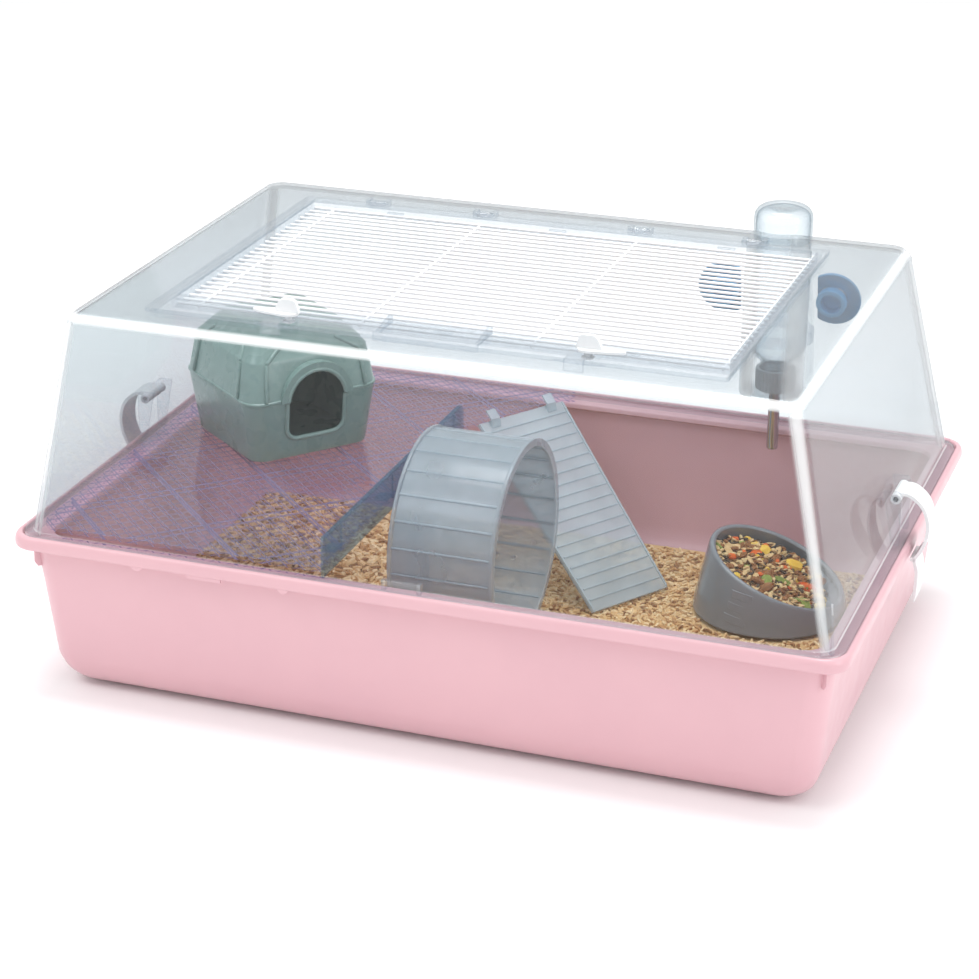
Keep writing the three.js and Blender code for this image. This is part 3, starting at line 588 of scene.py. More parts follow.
def make_latch(side):
    x = LATCH[0] * side
    top = ROOF_Z + 3.6
    m = Matrix.Translation((x, LATCH[1], 0)) @ Matrix.Rotation(0 if side > 0 else math.pi, 4, "Z")
    nose = arc(0, 0, 6.6, 70, 290, 28) + [(14, -4.4), (20.5, -2.6), (23.4, -1.4), (24, 0), (23.4, 1.4),
                                          (20.5, 2.6), (14, 4.4)]
    bm = bmesh.new()
    add_prism(bm, nose, m @ Matrix.Translation((0, 0, top)), 1.6)
    ridge = [(-7.5, 0), (9.5, 0), (7, 5.6), (5, 8.2), (3.6, 8.8), (-3.4, 8.8), (-5, 7.9), (-6.4, 4.5)]
    add_prism(bm, ridge, m @ facing_front(1.7, 0, top + 1.2), 3.4)
    add_rod(bm, 2.3, m @ Vector((0, 0, top + 0.5)), m @ Vector((0, 0, ROOF_Z - 1.1)), 24)
    add_rod(bm, 4.2, m @ Vector((0, 0, ROOF_Z - 0.1)), m @ Vector((0, 0, ROOF_Z - 1.6)), 32)
    name = "turn_button_right" if side > 0 else "turn_button_left"
    return finish_mesh(name, bm, bevel=0.45)


# ---------- side clips ----------
def spline(points, samples):
    """Catmull-Rom through points, with its tangents."""
    out = []
    n = len(points) - 1
    for i in range(samples + 1):
        u = i / samples * n
        k = min(int(u), n - 1)
        t = u - k
        p = [Vector(points[min(max(k + d, 0), n)]) for d in (-1, 0, 1, 2)]
        pos = 0.5 * (2 * p[1] + (p[2] - p[0]) * t + (2 * p[0] - 5 * p[1] + 4 * p[2] - p[3]) * t * t
                     + (3 * p[1] - p[0] - 3 * p[2] + p[3]) * t ** 3)
        tan = 0.5 * ((p[2] - p[0]) + 2 * (2 * p[0] - 5 * p[1] + 4 * p[2] - p[3]) * t
                     + 3 * (3 * p[1] - p[0] - 3 * p[2] + p[3]) * t * t)
        out.append((pos, tan.normalized()))
    return out


def make_clip(side):
    path = [(267, 147.4), (275, 147), (283.5, 140), (287.5, 129), (287, 118),
            (284, 109.5), (280.6, 103), (282.6, 94), (282, 74)]
    left, right = [], []
    samples = 60
    for i, (p, t) in enumerate(spline(path, samples)):
        half = 1.05 * (1 if i < samples - 1 else 0.6)
        left.append((side * (p.x - t.y * half), p.y + t.x * half))
        right.insert(0, (side * (p.x + t.y * half), p.y - t.x * half))
    bm = bmesh.new()
    y0, y1 = CLIP[1] - 10.6, CLIP[1] + 10.6
    add_prism(bm, left + right, facing_front(y1), y1 - y0)
    add_block(bm, *sorted((side * 277.9, side * 281)), y0, y1, 102.2, 104.8)
    eye = axes((0, 0, 1), (1, 0, 0), (side * CLIP[0], 0, CLIP[2]))
    add_washer(bm, 1.8, 3.4, CLIP[1] - 13.5, CLIP[1] + 13.5, eye, 32)
    for k in range(4):
        z = 78 + 3.4 * k
        add_rod(bm, 0.5, (side * 283.1, y0 + 4, z), (side * 283.1, y1 - 4, z), 10)
    return finish_mesh("clip_band_right" if side > 0 else "clip_band_left", bm, bevel=0.4)


# ---------- platform, fence, ramp ----------
def make_platform():
    lo, hi = mm_box("platform")
    left, right, half = lo[0], PLAT_RIGHT, hi[1]
    top = hi[2]
    bottom = top - 3
    r = 18
    outline = [(right, -half), (right, 83), (-14, 160), (-8, 164), (-8, half)]
    outline += arc(left + r, half - r, r, 90, 180, 12) + arc(left + r, -half + r, r, 180, 270, 12)
    bm = bmesh.new()
    add_prism(bm, outline, Matrix.Translation((0, 0, bottom)), top - bottom)
    sheet = finish_mesh("platform_sheet", bm)
    for y in FENCE_SLOTS:
        cut(sheet, block_object(-96, -81, y - 2.6, y + 2.6, bottom - 2, top + 2))
    low = lo[2]
    bm = reopen(sheet)
    add_block(bm, left, left + 2.2, -half + r, half - r, low, bottom)
    add_block(bm, left + r, right, -half, -half + 2.2, low, bottom)
    add_block(bm, left + r, -8, half - 2.2, half, low, bottom)
    for y in FENCE_SLOTS:
        add_frame_at(bm, -98.2, -78.8, y - 4.8, y + 4.8, 2.2, top - 0.02, top + 0.6)
    for x0, x1, y0, y1 in ((right - 2.4, right - 0.2, -half + 2, 80),
                           (left + 0.4, left + 2.4, -half + r, half - r),
                           (left + r, right - 3, -half + 0.4, -half + 2.4)):
        add_block(bm, x0, x1, y0, y1, top - 0.02, top + 0.35)
    return finish_mesh("platform_sheet", bm, bevel=0.3)


def add_frame_at(bm, x0, x1, y0, y1, w, z0, z1):
    loops = []
    for i, z in ((0, z0), (0, z1), (w, z1), (w, z0)):
        loops.append([(x0 + i, y0 + i, z), (x1 - i, y0 + i, z), (x1 - i, y1 - i, z), (x0 + i, y1 - i, z)])
    add_loops(bm, loops, closed=True)


def make_fence():
    lo, hi = mm_box("platform_fence")
    x = hi[0] - 1.9
    top = hi[2]
    outline = [(lo[1], lo[2]), (hi[1], lo[2]), (hi[1], top - 8)]
    outline += arc(hi[1] - 8, top - 8, 8, 12, 90, 8) + [(lo[1] + 2, top), (lo[1], top - 2)]
    bm = bmesh.new()
    add_prism(bm, outline, facing_right(x), 1.9)
    add_block(bm, x - 0.5, x + 2.3, lo[1] + 1, hi[1] - 9, top - 1.4, top)
    for y in FENCE_TABS:
        add_block(bm, lo[0], x + 0.1, y - 6, y + 6, 118.1, 119.8)
    for y in FENCE_TABS:
        add_block(bm, x + 1.8, x + 2.5, y - 1, y + 1, 119, top - 2)
    return finish_mesh("fence_strip", bm, bevel=0.3)


def make_ramp():
    run, drop, top_w, foot_w, thick = 124.0, 103.5, 78.0, 70.0, 2.4
    length = math.hypot(run, drop)
    a, b = Vector((PLAT_RIGHT, 83)), Vector((-14, 160))
    u = (b - a).normalized()
    out = Vector((u.y, -u.x))
    mid = (a + b) / 2 + out * 2.2 + u * 6
    m = (Matrix.Translation((mid.x, mid.y, 116.6)) @ Matrix.Rotation(math.atan2(out.y, out.x), 4, "Z")
         @ Matrix.Rotation(math.atan2(drop, run), 4, "Y"))
    bm = bmesh.new()
    add_prism(bm, [(0, -top_w / 2), (length, -foot_w / 2), (length, foot_w / 2), (0, top_w / 2)], m, thick)
    for i in range(1, 18):
        s = length * i / 18
        half = top_w / 2 - (top_w - foot_w) / 2 * s / length - 2.6
        section = [(s - 1, thick - 0.1), (s + 1, thick - 0.1), (s + 0.6, thick + 0.9), (s + 0.2, thick + 1.1),
                   (s - 0.5, thick + 1.0)]
        add_prism(bm, section, m @ facing_front(half), 2 * half)
    for side in (-1, 1):
        edge = [(1, side * (top_w / 2 - 0.2)), (length - 1, side * (foot_w / 2 - 0.2)),
                (length - 1, side * (foot_w / 2 - 1.8)), (1, side * (top_w / 2 - 1.8))]
        add_prism(bm, edge, m @ Matrix.Translation((0, 0, thick - 0.1)), 1.2)
    for y in (-26, 26):
        hook = [(0.4, 0.4), (6, 0.4), (6, 3), (4.6, 4.2), (1.2, 6.6), (-7, 6.6), (-7, 5), (0.4, 5)]
        add_prism(bm, hook, m @ facing_front(y + 4), 8)
    return finish_mesh("ramp_board", bm, bevel=0.3)


# ---------- wheel ----------
def make_wheel():
    lo, hi = mm_box("wheel_drum")
    left, right, r = lo[0], hi[0], (hi[2] - lo[2]) / 2
    skin = r - 1.8
    m = facing_right(0, HUB[1], HUB[2])
    profile = [(3.4, left), (9, left), (9, left + 0.6), (40, left + 0.9), (r - 0.7, left + 0.6),
               (r - 0.1, left + 1.1),
               (r, left + 1.8), (r - 0.2, left + 3), (skin, left + 3.3), (skin, right - 3.1),
               (r - 0.2, right - 2.8),
               (r, right - 2), (r, right - 0.8), (r - 0.5, right - 0.1), (r - 5.4, right),
               (r - 6, right - 0.5),
               (r - 6, right - 2), (skin - 1.8, right - 2.2), (skin - 1.8, left + 3.4),
               (skin - 2.6, left + 2.7),
               (40, left + 2.6), (9, left + 2.6), (9, left + 7.4), (8.5, left + 8), (3.4, left + 8)]
    bm = bmesh.new()
    add_lathe(bm, profile, m, 120, closed=True)
    for i in range(24):
        a = math.radians(15 * i + 3.75)
        rib = Matrix.Translation((0, HUB[1], HUB[2])) @ Matrix.Rotation(a, 4, "X")
        section = [(-1.0, skin - 0.1), (1.0, skin - 0.1), (0.8, skin + 0.6), (0.4, skin + 0.9),
                   (-0.4, skin + 0.9), (-0.8, skin + 0.6)]
        add_prism(bm, section, rib @ facing_right(left + 3), right - left - 5.8)
        inner = [(-0.7, skin - 2.5), (0.7, skin - 2.5), (0.9, skin - 1.7), (-0.9, skin - 1.7)]
        add_prism(bm, inner, rib @ facing_right(left + 4), right - left - 7)
    for i in range(6):
        rib = Matrix.Translation((0, HUB[1], HUB[2])) @ Matrix.Rotation(math.radians(60 * i), 4, "X")
        add_prism(bm, [(-1, 8.8), (1, 8.8), (1, skin - 3), (-1, skin - 3)],
                  rib @ facing_right(left + 2.4), 1.6)
    return finish_mesh("wheel_drum_shell", bm, 38)


def make_stand():
    lo, hi = mm_box("wheel_stand")
    y, z = HUB[1], HUB[2]
    foot = lo[2]
    x0, x1 = lo[0], lo[0] + 5
    half = [(34, foot), (34, foot + 3.5), (26, foot + 16), (18, foot + 32), (12.5, foot + 50), (10, z - 4),
            (9, z + 6)]
    outline = [(y + a, b) for a, b in half]
    outline += [(y + 4, z + 9.2), (y, z + 10), (y - 4, z + 9.2)] + [(y - a, b) for a, b in reversed(half)]
    bm = bmesh.new()
    add_prism(bm, outline, facing_right(x0 + 1.5), x1 - x0 - 3)
    for sign in (1, -1):
        for (a0, b0), (a1, b1) in zip(half[1:], half[2:]):
            p, q = Vector((0, y + sign * a0, b0)), Vector((0, y + sign * a1, b1))
            d = Vector((0, sign * -1.8, 0))
            loops = [[Vector((x, v.y, v.z)) for v in (p, q, q + d, p + d)] for x in (x0, x1)]
            add_loops(bm, loops)
    add_washer(bm, 3.3, 7.4, x0, x1, facing_right(0, y, z), 48)
    add_block(bm, x0 + 1, hi[0], y - 34, y - 22, foot, foot + 1.3)
    add_block(bm, x0 + 1, hi[0], y + 22, y + 34, foot, foot + 1.3)
    add_block(bm, hi[0] - 8, hi[0], y - 22, y + 22, foot, foot + 1.3)
    return finish_mesh("wheel_stand_frame", bm, bevel=0.3)


def make_axle():
    lo, hi = mm_box("wheel_axle")
    bm = bmesh.new()
    y, z = HUB[1], HUB[2]
    add_rod(bm, 3, (lo[0] + 0.4, y, z), (hi[0], y, z), 32)
    add_rod(bm, 5.4, (lo[0], y, z), (lo[0] + 1.2, y, z), 40, 0.4)
    add_block(bm, lo[0], lo[0] + 0.2, y - 3.5, y + 3.5, z - 0.5, z + 0.5)
    return finish_mesh("axle_pin", bm)


def make_cap():
    lo, hi = mm_box("wheel_cap")
    m = facing_right(0, HUB[1], HUB[2])
    profile = [(3.3, lo[0]), (6.2, lo[0]), (6.6, lo[0] + 0.5), (6.6, hi[0] - 1.4), (5.9, hi[0] - 0.4),
               (4.4, hi[0]),
               (0, hi[0]), (0, lo[0] + 2.3), (3.3, lo[0] + 2.3)]
    bm = bmesh.new()
    add_lathe(bm, profile, m, 48, closed=True)
    return finish_mesh("axle_cap", bm)


# ---------- house ----------
def house_ring(half_x, half_y, r, z):
    return rounded(half_x, -half_y, half_y, r, z, 8)


def arch_foot(half, sill):
    corner = min(9, half - 4)
    return (arc(-half + corner, sill + corner, corner, 180, 270, 6)
            + arc(half - corner, sill + corner, corner, 270, 360, 6))


def arch_top(half, crown):
    return arc(0, crown - half, half, 0, 180, 20)


def arch_object(half, sill, crown, y0, y1):
    bm = bmesh.new()
    add_prism(bm, arch_foot(half, sill) + arch_top(half, crown), facing_front(y1), y1 - y0)
    return solid(bm)


def to_house_place(obj):
    """The house is modelled square on the origin, then turned and moved."""
    there = Matrix.Translation((HOUSE_AT[0] * MM, HOUSE_AT[1] * MM, 0))
    obj.data.transform(there @ Matrix.Rotation(HOUSE_TURN, 4, "Z"))


def house_object(name, bm, cutters):
    obj = finish_mesh(name, bm, 30)
    for tool in cutters:
        cut(obj, tool)
    to_house_place(obj)
    obj.data.shade_smooth()
    obj.data.set_sharp_from_angle(angle=math.radians(30))
    add_bevel(obj, 0.5, segments=3, limit=42)
    return obj


def make_house():
    floor, seam, top = mm_box("house_base")[0][2], mm_box("house_base")[1][2], mm_box("house_roof")[1][2]
    sill, crown, half = floor + 15, floor + 64, 22.5
    low = mm_box("house_roof")[0][2]
    bm = bmesh.new()
    add_loops(bm, [house_ring(*r) for r in ((43, 43.8, 9, floor), (45, 45.8, 11, floor + 0.8),
                                            (46, 46.8, 12, floor + 2.5),
                                            (51, 51.8, 13, seam - 0.4), (50.6, 51.4, 13, seam))])
    inner = bmesh.new()
    add_loops(inner, [house_ring(*r) for r in ((43.6, 44.4, 10, floor + 2.4), (48.7, 49.5, 11, seam + 0.2))])
    base = house_object("house_lower", bm, [solid(inner), arch_object(half, sill, crown, -60, -20)])
    bm = bmesh.new()
    add_loops(bm, [house_ring(*r) for r in ((51.7, 52.5, 14, low), (52, 52.8, 14, low + 0.4),
                                            (52, 52.8, 14, low + 1.8),
                                            (51.2, 52, 13.6, low + 2.4), (46.8, 47.6, 12, 190),
                                            (46, 46.8, 11.8, 191.4),
                                            (32.6, 33.4, 9, 207), (31.6, 32.4, 9, 208.3),
                                            (30, 30.8, 8, top))])
    hood = bmesh.new()
    outline = [p for p in arch_top(half + 5.5, crown + 5.5) if p[1] > low]
    right_x, left_x = max(p[0] for p in outline), min(p[0] for p in outline)
    outline = [(left_x, low + 0.05), (right_x, low + 0.05)] + outline
    add_prism(hood, outline, facing_front(-45.5), 8.8)
    roof = finish_mesh("house_upper", bm, 30)
    cut(roof, solid(hood), "UNION")
    inner = bmesh.new()
    add_loops(inner, [house_ring(*r) for r in ((49.2, 50, 11.5, low - 0.2), (44.4, 45.2, 10, 189),
                                               (30.6, 31.4, 8, 205.2), (29.4, 30.2, 7.4, 206.6))])
    upper = house_object("house_upper", reopen(roof),
                         [solid(inner), arch_object(half, sill, crown, -70, -20)])
    trim = bmesh.new()
    for sx in (-1, 1):
        for sy in (-1, 1):
            for turn in (0, 1):
                x0, y0 = (sx * 52, sy * 33.5) if turn else (sx * 32.7, sy * 52.8)
                x1, y1 = (sx * 46.8, sy * 30.5) if turn else (sx * 29.7, sy * 47.6)
                x2, y2 = (sx * 39.4, sy * 21.5) if turn else (sx * 20.7, sy * 40.2)
                if sy < 0 and not turn:
                    x0, x1 = sx * 38.5, sx * 36
                add_ridge(trim, [(x0, y0, low + 2.4), (x1, y1, 190), (x2, y2, 199.2)], 1.5)
    lips = [bmesh.new(), bmesh.new()]
    sill_path = [(-half, seam - 0.4)] + arch_foot(half, sill) + [(half, seam - 0.4)]
    add_bead(lips[0], [(a, -47.3 - 4.6 * (z - floor) / (seam - floor), z) for a, z in sill_path], 1.7)
    hood_path = [p for p in arch_top(half, crown) if p[1] > low + 1]
    hood_path = [(half, low + 0.3)] + hood_path + [(-half, low + 0.3)]
    add_bead(lips[1], [(a, -53.2, z) for a, z in hood_path], 1.7)
    extra = [finish_mesh("house_sill_bead", lips[0], 60), finish_mesh("house_arch_bead", lips[1], 60),
             finish_mesh("house_ribs", trim, 40)]
    for piece in extra:
        to_house_place(piece)
    return base, upper, extra


def add_ridge(bm, path, r):
    for a, b in zip(path, path[1:]):
        add_rod(bm, r, a, b, 14, r * 0.9)


def add_bead(bm, path, r, sides=12):
    """A round bead along a path that lies roughly in an upright plane."""
    loops = []
    for i, p in enumerate(path):
        t = (Vector(path[min(i + 1, len(path) - 1)]) - Vector(path[max(i - 1, 0)])).normalized()
        out = Vector((0, -1, 0)) - t * t.dot(Vector((0, -1, 0)))
        out.normalize()
        across = t.cross(out)
        loops.append([Vector(p) + r * (math.cos(a) * out + math.sin(a) * across)
                      for a in (2 * math.pi * k / sides for k in range(sides))])
    add_loops(bm, loops)


# ---------- bowl, food, bedding ----------
def rim_height(x, y, drop=0.0):
    return BOWL_RIM - drop + BOWL_SLOPE[0] * (x - BOWL_AT[0]) + BOWL_SLOPE[1] * (y - BOWL_AT[1])


def bowl_side(z):
    return BOWL_FOOT - BOWL_TAPER * (z - bowl_lo[2] - 2)


def make_bowl():
    floor = bowl_lo[2]
    segments = 120
    rows = []
    for i in range(segments):
        a = 2 * math.pi * i / segments
        top = BOWL_RIM
        for _ in range(8):    # the rim's height and its radius depend on each other
            mid = bowl_side(top) - 2.4
            top = rim_height(*around(BOWL_AT, mid, a))
        pts = [(0.02, floor), (24, floor), (BOWL_FOOT - 3, floor), (BOWL_FOOT - 1, floor + 0.4),
               (BOWL_FOOT - 0.1, floor + 1.6)]
        for k in range(1, 9):
            z = floor + 2.4 + (top - 2.6 - floor - 2.4) * k / 8
            swell = 0.9 * math.sin(math.pi * k / 8)
            pts.append((bowl_side(z) - 0.4 + swell * 0.4, z))
        pts += [(mid + 2.3 * math.cos(t), top - 2.3 + 2.3 * math.sin(t))
                for t in (math.radians(d) for d in (10, 30, 50, 70, 90, 115, 140, 165))]
        under = max(floor + 12, top - 7)
        pts += [(bowl_side(under) - 4.6, under), (bowl_side(floor + 14) - 8, min(floor + 16, under - 1)),
                (39, floor + 10.2), (28, floor + 6.6), (0.02, floor + 6)]
        rows.append([(*around(BOWL_AT, r, a), z) for r, z in pts])
    bm = bmesh.new()
    add_loops(bm, [[rows[i][k] for i in range(segments)] for k in range(len(rows[0]))])
    for k in range(3):
        z0 = floor + 8 + 8.5 * k
        a0 = math.radians(246 + 2 * k)
        loops = []
        for j in range(9):
            a = a0 + math.radians(19) * j / 8
            lift = 1.8 * j / 8
            loops.append([(*around(BOWL_AT, r, a), z)
                          for r, z in ((bowl_side(z0) - 0.9, z0 - lift), (bowl_side(z0) + 0.25, z0 - lift),
                                       (bowl_side(z0 + 5.5) + 0.25, z0 + 5.5 - lift),
                                       (bowl_side(z0 + 5.5) - 0.9, z0 + 5.5 - lift))])
        add_loops(bm, loops)
    return finish_mesh("bowl_dish", bm, 40, bevel=0.3)


def add_chip(bm, centre, size, spin, sides, index):
    """A faceted lump: a short prism with pulled-in ends, in the material slot of the given index."""
    m = Matrix.Translation(centre) @ spin.to_matrix().to_4x4()
    sx, sy, sz = size
    loops = []
    for h, k in ((-1, 0.62), (-0.55, 1), (0.55, 1), (1, 0.62)):
        loops.append([m @ Vector((sx * h, sy * k * math.cos(t), sz * k * math.sin(t)))
                      for t in (2 * math.pi * i / sides for i in range(sides))])
    first = len(bm.faces)
    add_loops(bm, loops)
    bm.faces.ensure_lookup_table()
    for f in bm.faces[first:]:
        f.material_index = index


def random_turn(tilt):
    return Euler((random.uniform(-tilt, tilt), random.uniform(-tilt, tilt), random.uniform(0, 2 * math.pi)),
                 "ZYX")


def make_food():
    bm = bmesh.new()
    floor = mm_box("food_mix")[0][2]
    segments = 48
    loops = []
    for r, sink in ((0.02, 0), (18, 0), (30, 0.8), (38.5, 2.4)):
        loops.append([])
        for i in range(segments):
            a = 2 * math.pi * i / segments
            x, y = around(BOWL_AT, r, a)
            loops[-1].append((x, y, rim_height(x, y, 9.4 + sink)))
    base = [(*around(BOWL_AT, 24, 2 * math.pi * i / segments), floor + 2) for i in range(segments)]
    add_loops(bm, loops + [base])
    kinds = [((3.4, 2.4, 0.7), 0, 170), ((2.5, 2.0, 1.2), 1, 190), ((2.0, 1.3, 1.2), 2, 170),
             ((2.8, 1.3, 0.9), 3, 120),
             ((2.8, 2.2, 1.4), 4, 14), ((3.6, 1.6, 1.5), 5, 10), ((2.6, 2.3, 1.5), 6, 14),
             ((6.4, 4.6, 2.6), 4, 4), ((5.6, 4.4, 2.6), 6, 4), ((6.0, 4.6, 2.4), 5, 4),
             ((5.6, 3.2, 2.0), 1, 9)]
    for size, index, count in kinds:
        for _ in range(count):
            a, r = random.uniform(0, 2 * math.pi), 39.0 * math.sqrt(random.random())
            x, y = around(BOWL_AT, r, a)
            k = random.uniform(0.75, 1.2)
            z = rim_height(x, y, random.uniform(5.4, 8.8)) + (2.0 - 3.0 * r / 39)
            add_chip(bm, (x, y, z), tuple(v * k for v in size), random_turn(0.6), 7, index)
    bmesh.ops.recalc_face_normals(bm, faces=bm.faces)
    return finish_mesh("food_grains", bm, 28)


def make_bedding():
    hi = mm_box("bedding")[1]
    bm = bmesh.new()
    rings = [(RIM_X - i, -RIM_Y + i, RIM_Y - i, RIM_CORNER, z) for i, z in ((41, 4.4), (31, 7.6), (28, 10.6))]
    add_loops(bm, [rounded(*r, steps=6) for r in rings])
    fx, fy = hi[0] - 5, hi[1] - 5
    y = -fy
    while y < fy:
        x = -fx
        while x < fx:
            px, py = x + random.uniform(-1.5, 1.5), y + random.uniform(-1.4, 1.4)
            hidden = px < -75
            x += 4.6 if hidden else 3.3
            if (px - BOWL_AT[0]) ** 2 + (py - BOWL_AT[1]) ** 2 < (BOWL_FOOT + 1.2) ** 2:
                continue
            if abs(px) > fx - 6 and abs(py) > fy - 6 and random.random() > 0.3:
                continue
            k = 1.5 if hidden else 1.0
            size = (random.uniform(1.4, 3.0) * k, random.uniform(0.9, 1.35) * k,
                    random.uniform(0.85, 1.25) * k)
            z = hi[2] - 0.9 + random.uniform(-1.1, 0.9)
            add_chip(bm, (px, py, z), size, random_turn(0.5), 5, random.choice((0, 0, 1, 1, 2, 3)))
        y += 2.9
    return finish_mesh("bedding_pellets", bm, 25)


# ---------- drinker ----------
def make_bottle():
    r, top = BOTTLE_R, bottle_hi[2]
    out = [(0, top - 0.9), (6, top - 0.8), (9, top - 0.1), (12.5, top), (15.6, top - 0.7), (18.2, top - 2.4),
           (r - 0.5, top - 5.4), (r, top - 9), (r, 252), (r - 0.7, 250.6), (r - 0.7, 248.4), (r, 247),
           (r, 180),
           (r - 0.6, 175.6), (18.4, 172.2), (15, 169), (12.6, 167.2), (11.5, 164.6), (11.4, 153.6)]
    inside = [(9.9, 153.6), (9.9, 166), (13, 169.4), (17.6, 173.4), (r - 1.5, 178.6), (r - 1.4, 184),
              (r - 1.4, top - 9),
              (r - 2.2, top - 5.8), (16.4, top - 3.8), (12.4, top - 2), (9, top - 2.1), (6, top - 2.6),
              (0, top - 2.6)]
    bm = bmesh.new()
    add_lathe(bm, out + inside, BOTTLE_AXIS, 72, closed=True)
    for k in range(3):
        z = 155.4 + 2.4 * k
        add_lathe(bm, [(11.3, z), (11.75, z + 0.25), (11.75, z + 0.75), (11.3, z + 1)], BOTTLE_AXIS, 64,
                  closed=True)
    return finish_mesh("bottle_shell", bm)


def make_cap_piece():
    lo, hi = mm_box("bottle_cap")
    bm = bmesh.new()
    z0, z1 = lo[2], hi[2]
    profile = [(4.5, z0), (13.6, z0), (14.1, z0 + 0.5), (14.1, z1 - 0.5), (13.7, z1), (11.85, z1),
               (11.8, z0 + 5.8), (4.5, z0 + 5.8)]
    add_lathe(bm, profile, BOTTLE_AXIS, 72, closed=True)
    for i in range(36):
        a = 2 * math.pi * i / 36
        x, y = around(BOTTLE_AT, 14.0, a)
        add_rod(bm, 0.5, (x, y, z0 + 1), (x, y, z1 - 1), 6)
    return finish_mesh("drinker_cap", bm)


def make_seal():
    lo, hi = mm_box("bottle_seal")
    bm = bmesh.new()
    add_lathe(bm, [(4.5, lo[2]), (10.9, lo[2]), (11.3, lo[2] + 0.4), (11.3, hi[2] - 0.4), (10.9, hi[2]),
                   (4.5, hi[2])],
              BOTTLE_AXIS, 48, closed=True)
    return finish_mesh("drinker_seal", bm, 50)


def make_tube():
    lo, hi = mm_box("spout_tube")
    bm = bmesh.new()
    z = lo[2]
    profile = [(2.7, z), (3.4, z + 0.1), (3.9, z + 0.6), (4.1, z + 1.6), (4.1, hi[2] - 1.4), (8, hi[2] - 1.4),
               (8, hi[2]),
               (3.2, hi[2]), (3.2, z + 1.8), (2.7, z + 0.8)]
    add_lathe(bm, profile, BOTTLE_AXIS, 48, closed=True)
    return finish_mesh("drinker_tube", bm, 40)


def make_ball():
    lo, hi = mm_box("spout_ball")
    r = (hi[2] - lo[2]) / 2
    bm = bmesh.new()
    bmesh.ops.create_icosphere(bm, subdivisions=4, radius=r,
                               matrix=Matrix.Translation((BOTTLE_AT[0], BOTTLE_AT[1], (hi[2] + lo[2]) / 2)))
    return finish_mesh("drinker_ball", bm, 80)


def make_plug(side):
    x = BOTTLE_AT[0] + side * PLUG_SIDE
    m = back_wall(x)
    open_angle = math.degrees(math.acos(11 / 19.5))
    outline = arc(0, 0, 19.5, open_angle, 360 - open_angle, 56)
    if side > 0:
        outline = [(-a, -b) for a, b in outline]
    bm = bmesh.new()
    add_prism(bm, outline, m @ Matrix.Translation((0, 0, 0.4)), 2.8)
    add_lathe(bm, [(7.2, -7.1), (10.1, -7.1), (10.5, -6.6), (10.5, 0.5), (7.2, 0.5)], m, 64, closed=True)
    add_loops(bm, [[m @ Vector(p) for p in ((-1.5, -10, z), (1.5, -10, z), (1.5, 10, z), (-1.5, 10, z))]
                   for z in (3.1, 7.5)])
    return finish_mesh("port_plug_r" if side > 0 else "port_plug_l", bm, bevel=0.6)


# ---------- materials ----------
def platform_lines(n):
    """Fine square grid turned an eighth of a turn, with a heavier pair of grooves every few squares."""
    sep = n.add("ShaderNodeSeparateXYZ")
    turned = n.add("ShaderNodeVectorRotate", rotation_type="Z_AXIS")
    n.link(n.coords(), turned.inputs["Vector"])
    turned.inputs["Angle"].default_value = math.radians(45)
    n.link(turned.outputs[0], sep.inputs[0])
    up = n.add("ShaderNodeSeparateXYZ")
    n.link(n.add("ShaderNodeNewGeometry").outputs["Normal"], up.inputs[0])
    above = n.math("GREATER_THAN", up.outputs[2], 0.6)
    lines = None
    for axis in (0, 1):
        for pitch, width, strength in ((0.0083, 0.0008, 0.7), (0.0664, 0.0019, 0.7)):
            folded = n.math("PINGPONG", n.math("ADD", sep.outputs[axis], 0.0006 * axis + 0.012), pitch / 2)
            line = n.math("MULTIPLY", n.math("LESS_THAN", folded, width / 2), strength)
            lines = line if lines is None else n.math("MAXIMUM", lines, line)
    return n.math("MULTIPLY", lines, above)


def wood_pellets(name, dark, light):
    n = Nodes(name)
    shader = n.add("ShaderNodeBsdfPrincipled")
    tone = n.math("ADD", n.math("MULTIPLY", n.noise(220, 4, 0.7), 0.7),
                  n.math("MULTIPLY", n.noise(16, 2), 0.3))
    n.link(n.mix(n.scaled(tone, 0, 1), linear(dark), linear(light)), shader.inputs["Base Color"])
    n.link(n.scaled(n.noise(300, 2), 0.7, 0.95), shader.inputs["Roughness"])
    n.link(n.bump(n.noise(1500, 4, 0.7), 0.5, 0.0004), shader.inputs["Normal"])
    n.link(shader.outputs[0], n.out.inputs["Surface"])
    return n.material


PINK = plastic("pink_tub", (214, 170, 178), (218, 174, 181), (0.3, 0.4), 700, 0.008, coat=0.2)
# The hood has no haze: its white diffuse colour shows only as the painted highlight bands on its rounded
# corners.
HOOD = clear("hood_clear", (246, 248, 249), (216, 222, 226), 0.0, (250, 252, 252), 0.02, 0.025,
             painted_corner_highlight, 2.8)
DOOR = clear("door_clear", (251, 252, 253), (212, 221, 228), 0.03, (246, 249, 251), 0.04, 0.05, power=2.6)
WIRE = plastic("wire_white", (228, 230, 233), (240, 241, 243), (0.18, 0.3), 1600, 0.02, coat=0.4)
WHITE = plastic("button_white", (224, 226, 228), (236, 237, 238), (0.3, 0.42), 1300, 0.03)
PLATFORM = clear("platform_blue", (255, 252, 255), (236, 228, 246), 0.0, (120, 112, 150), 0.05, 0.01,
                 platform_lines, 4.0)
FENCE = clear("fence_blue", (232, 244, 251), (150, 184, 212), 0.02, (214, 232, 244), 0.04, 0.04)
RAMP = clear("ramp_blue", (246, 250, 252), (206, 220, 228), 0.42, (214, 226, 232), 0.14, 0.04)
WHEEL = clear("wheel_blue", (248, 251, 252), (204, 216, 224), 0.4, (198, 209, 217), 0.14, 0.04)
AXLE = plastic("axle_white", (214, 220, 222), (228, 232, 234), (0.3, 0.4), 1300, 0.06)
SAGE = plastic("sage_plastic", (122, 148, 143), (131, 156, 151), (0.24, 0.32), 1000, 0.01, coat=0.3)
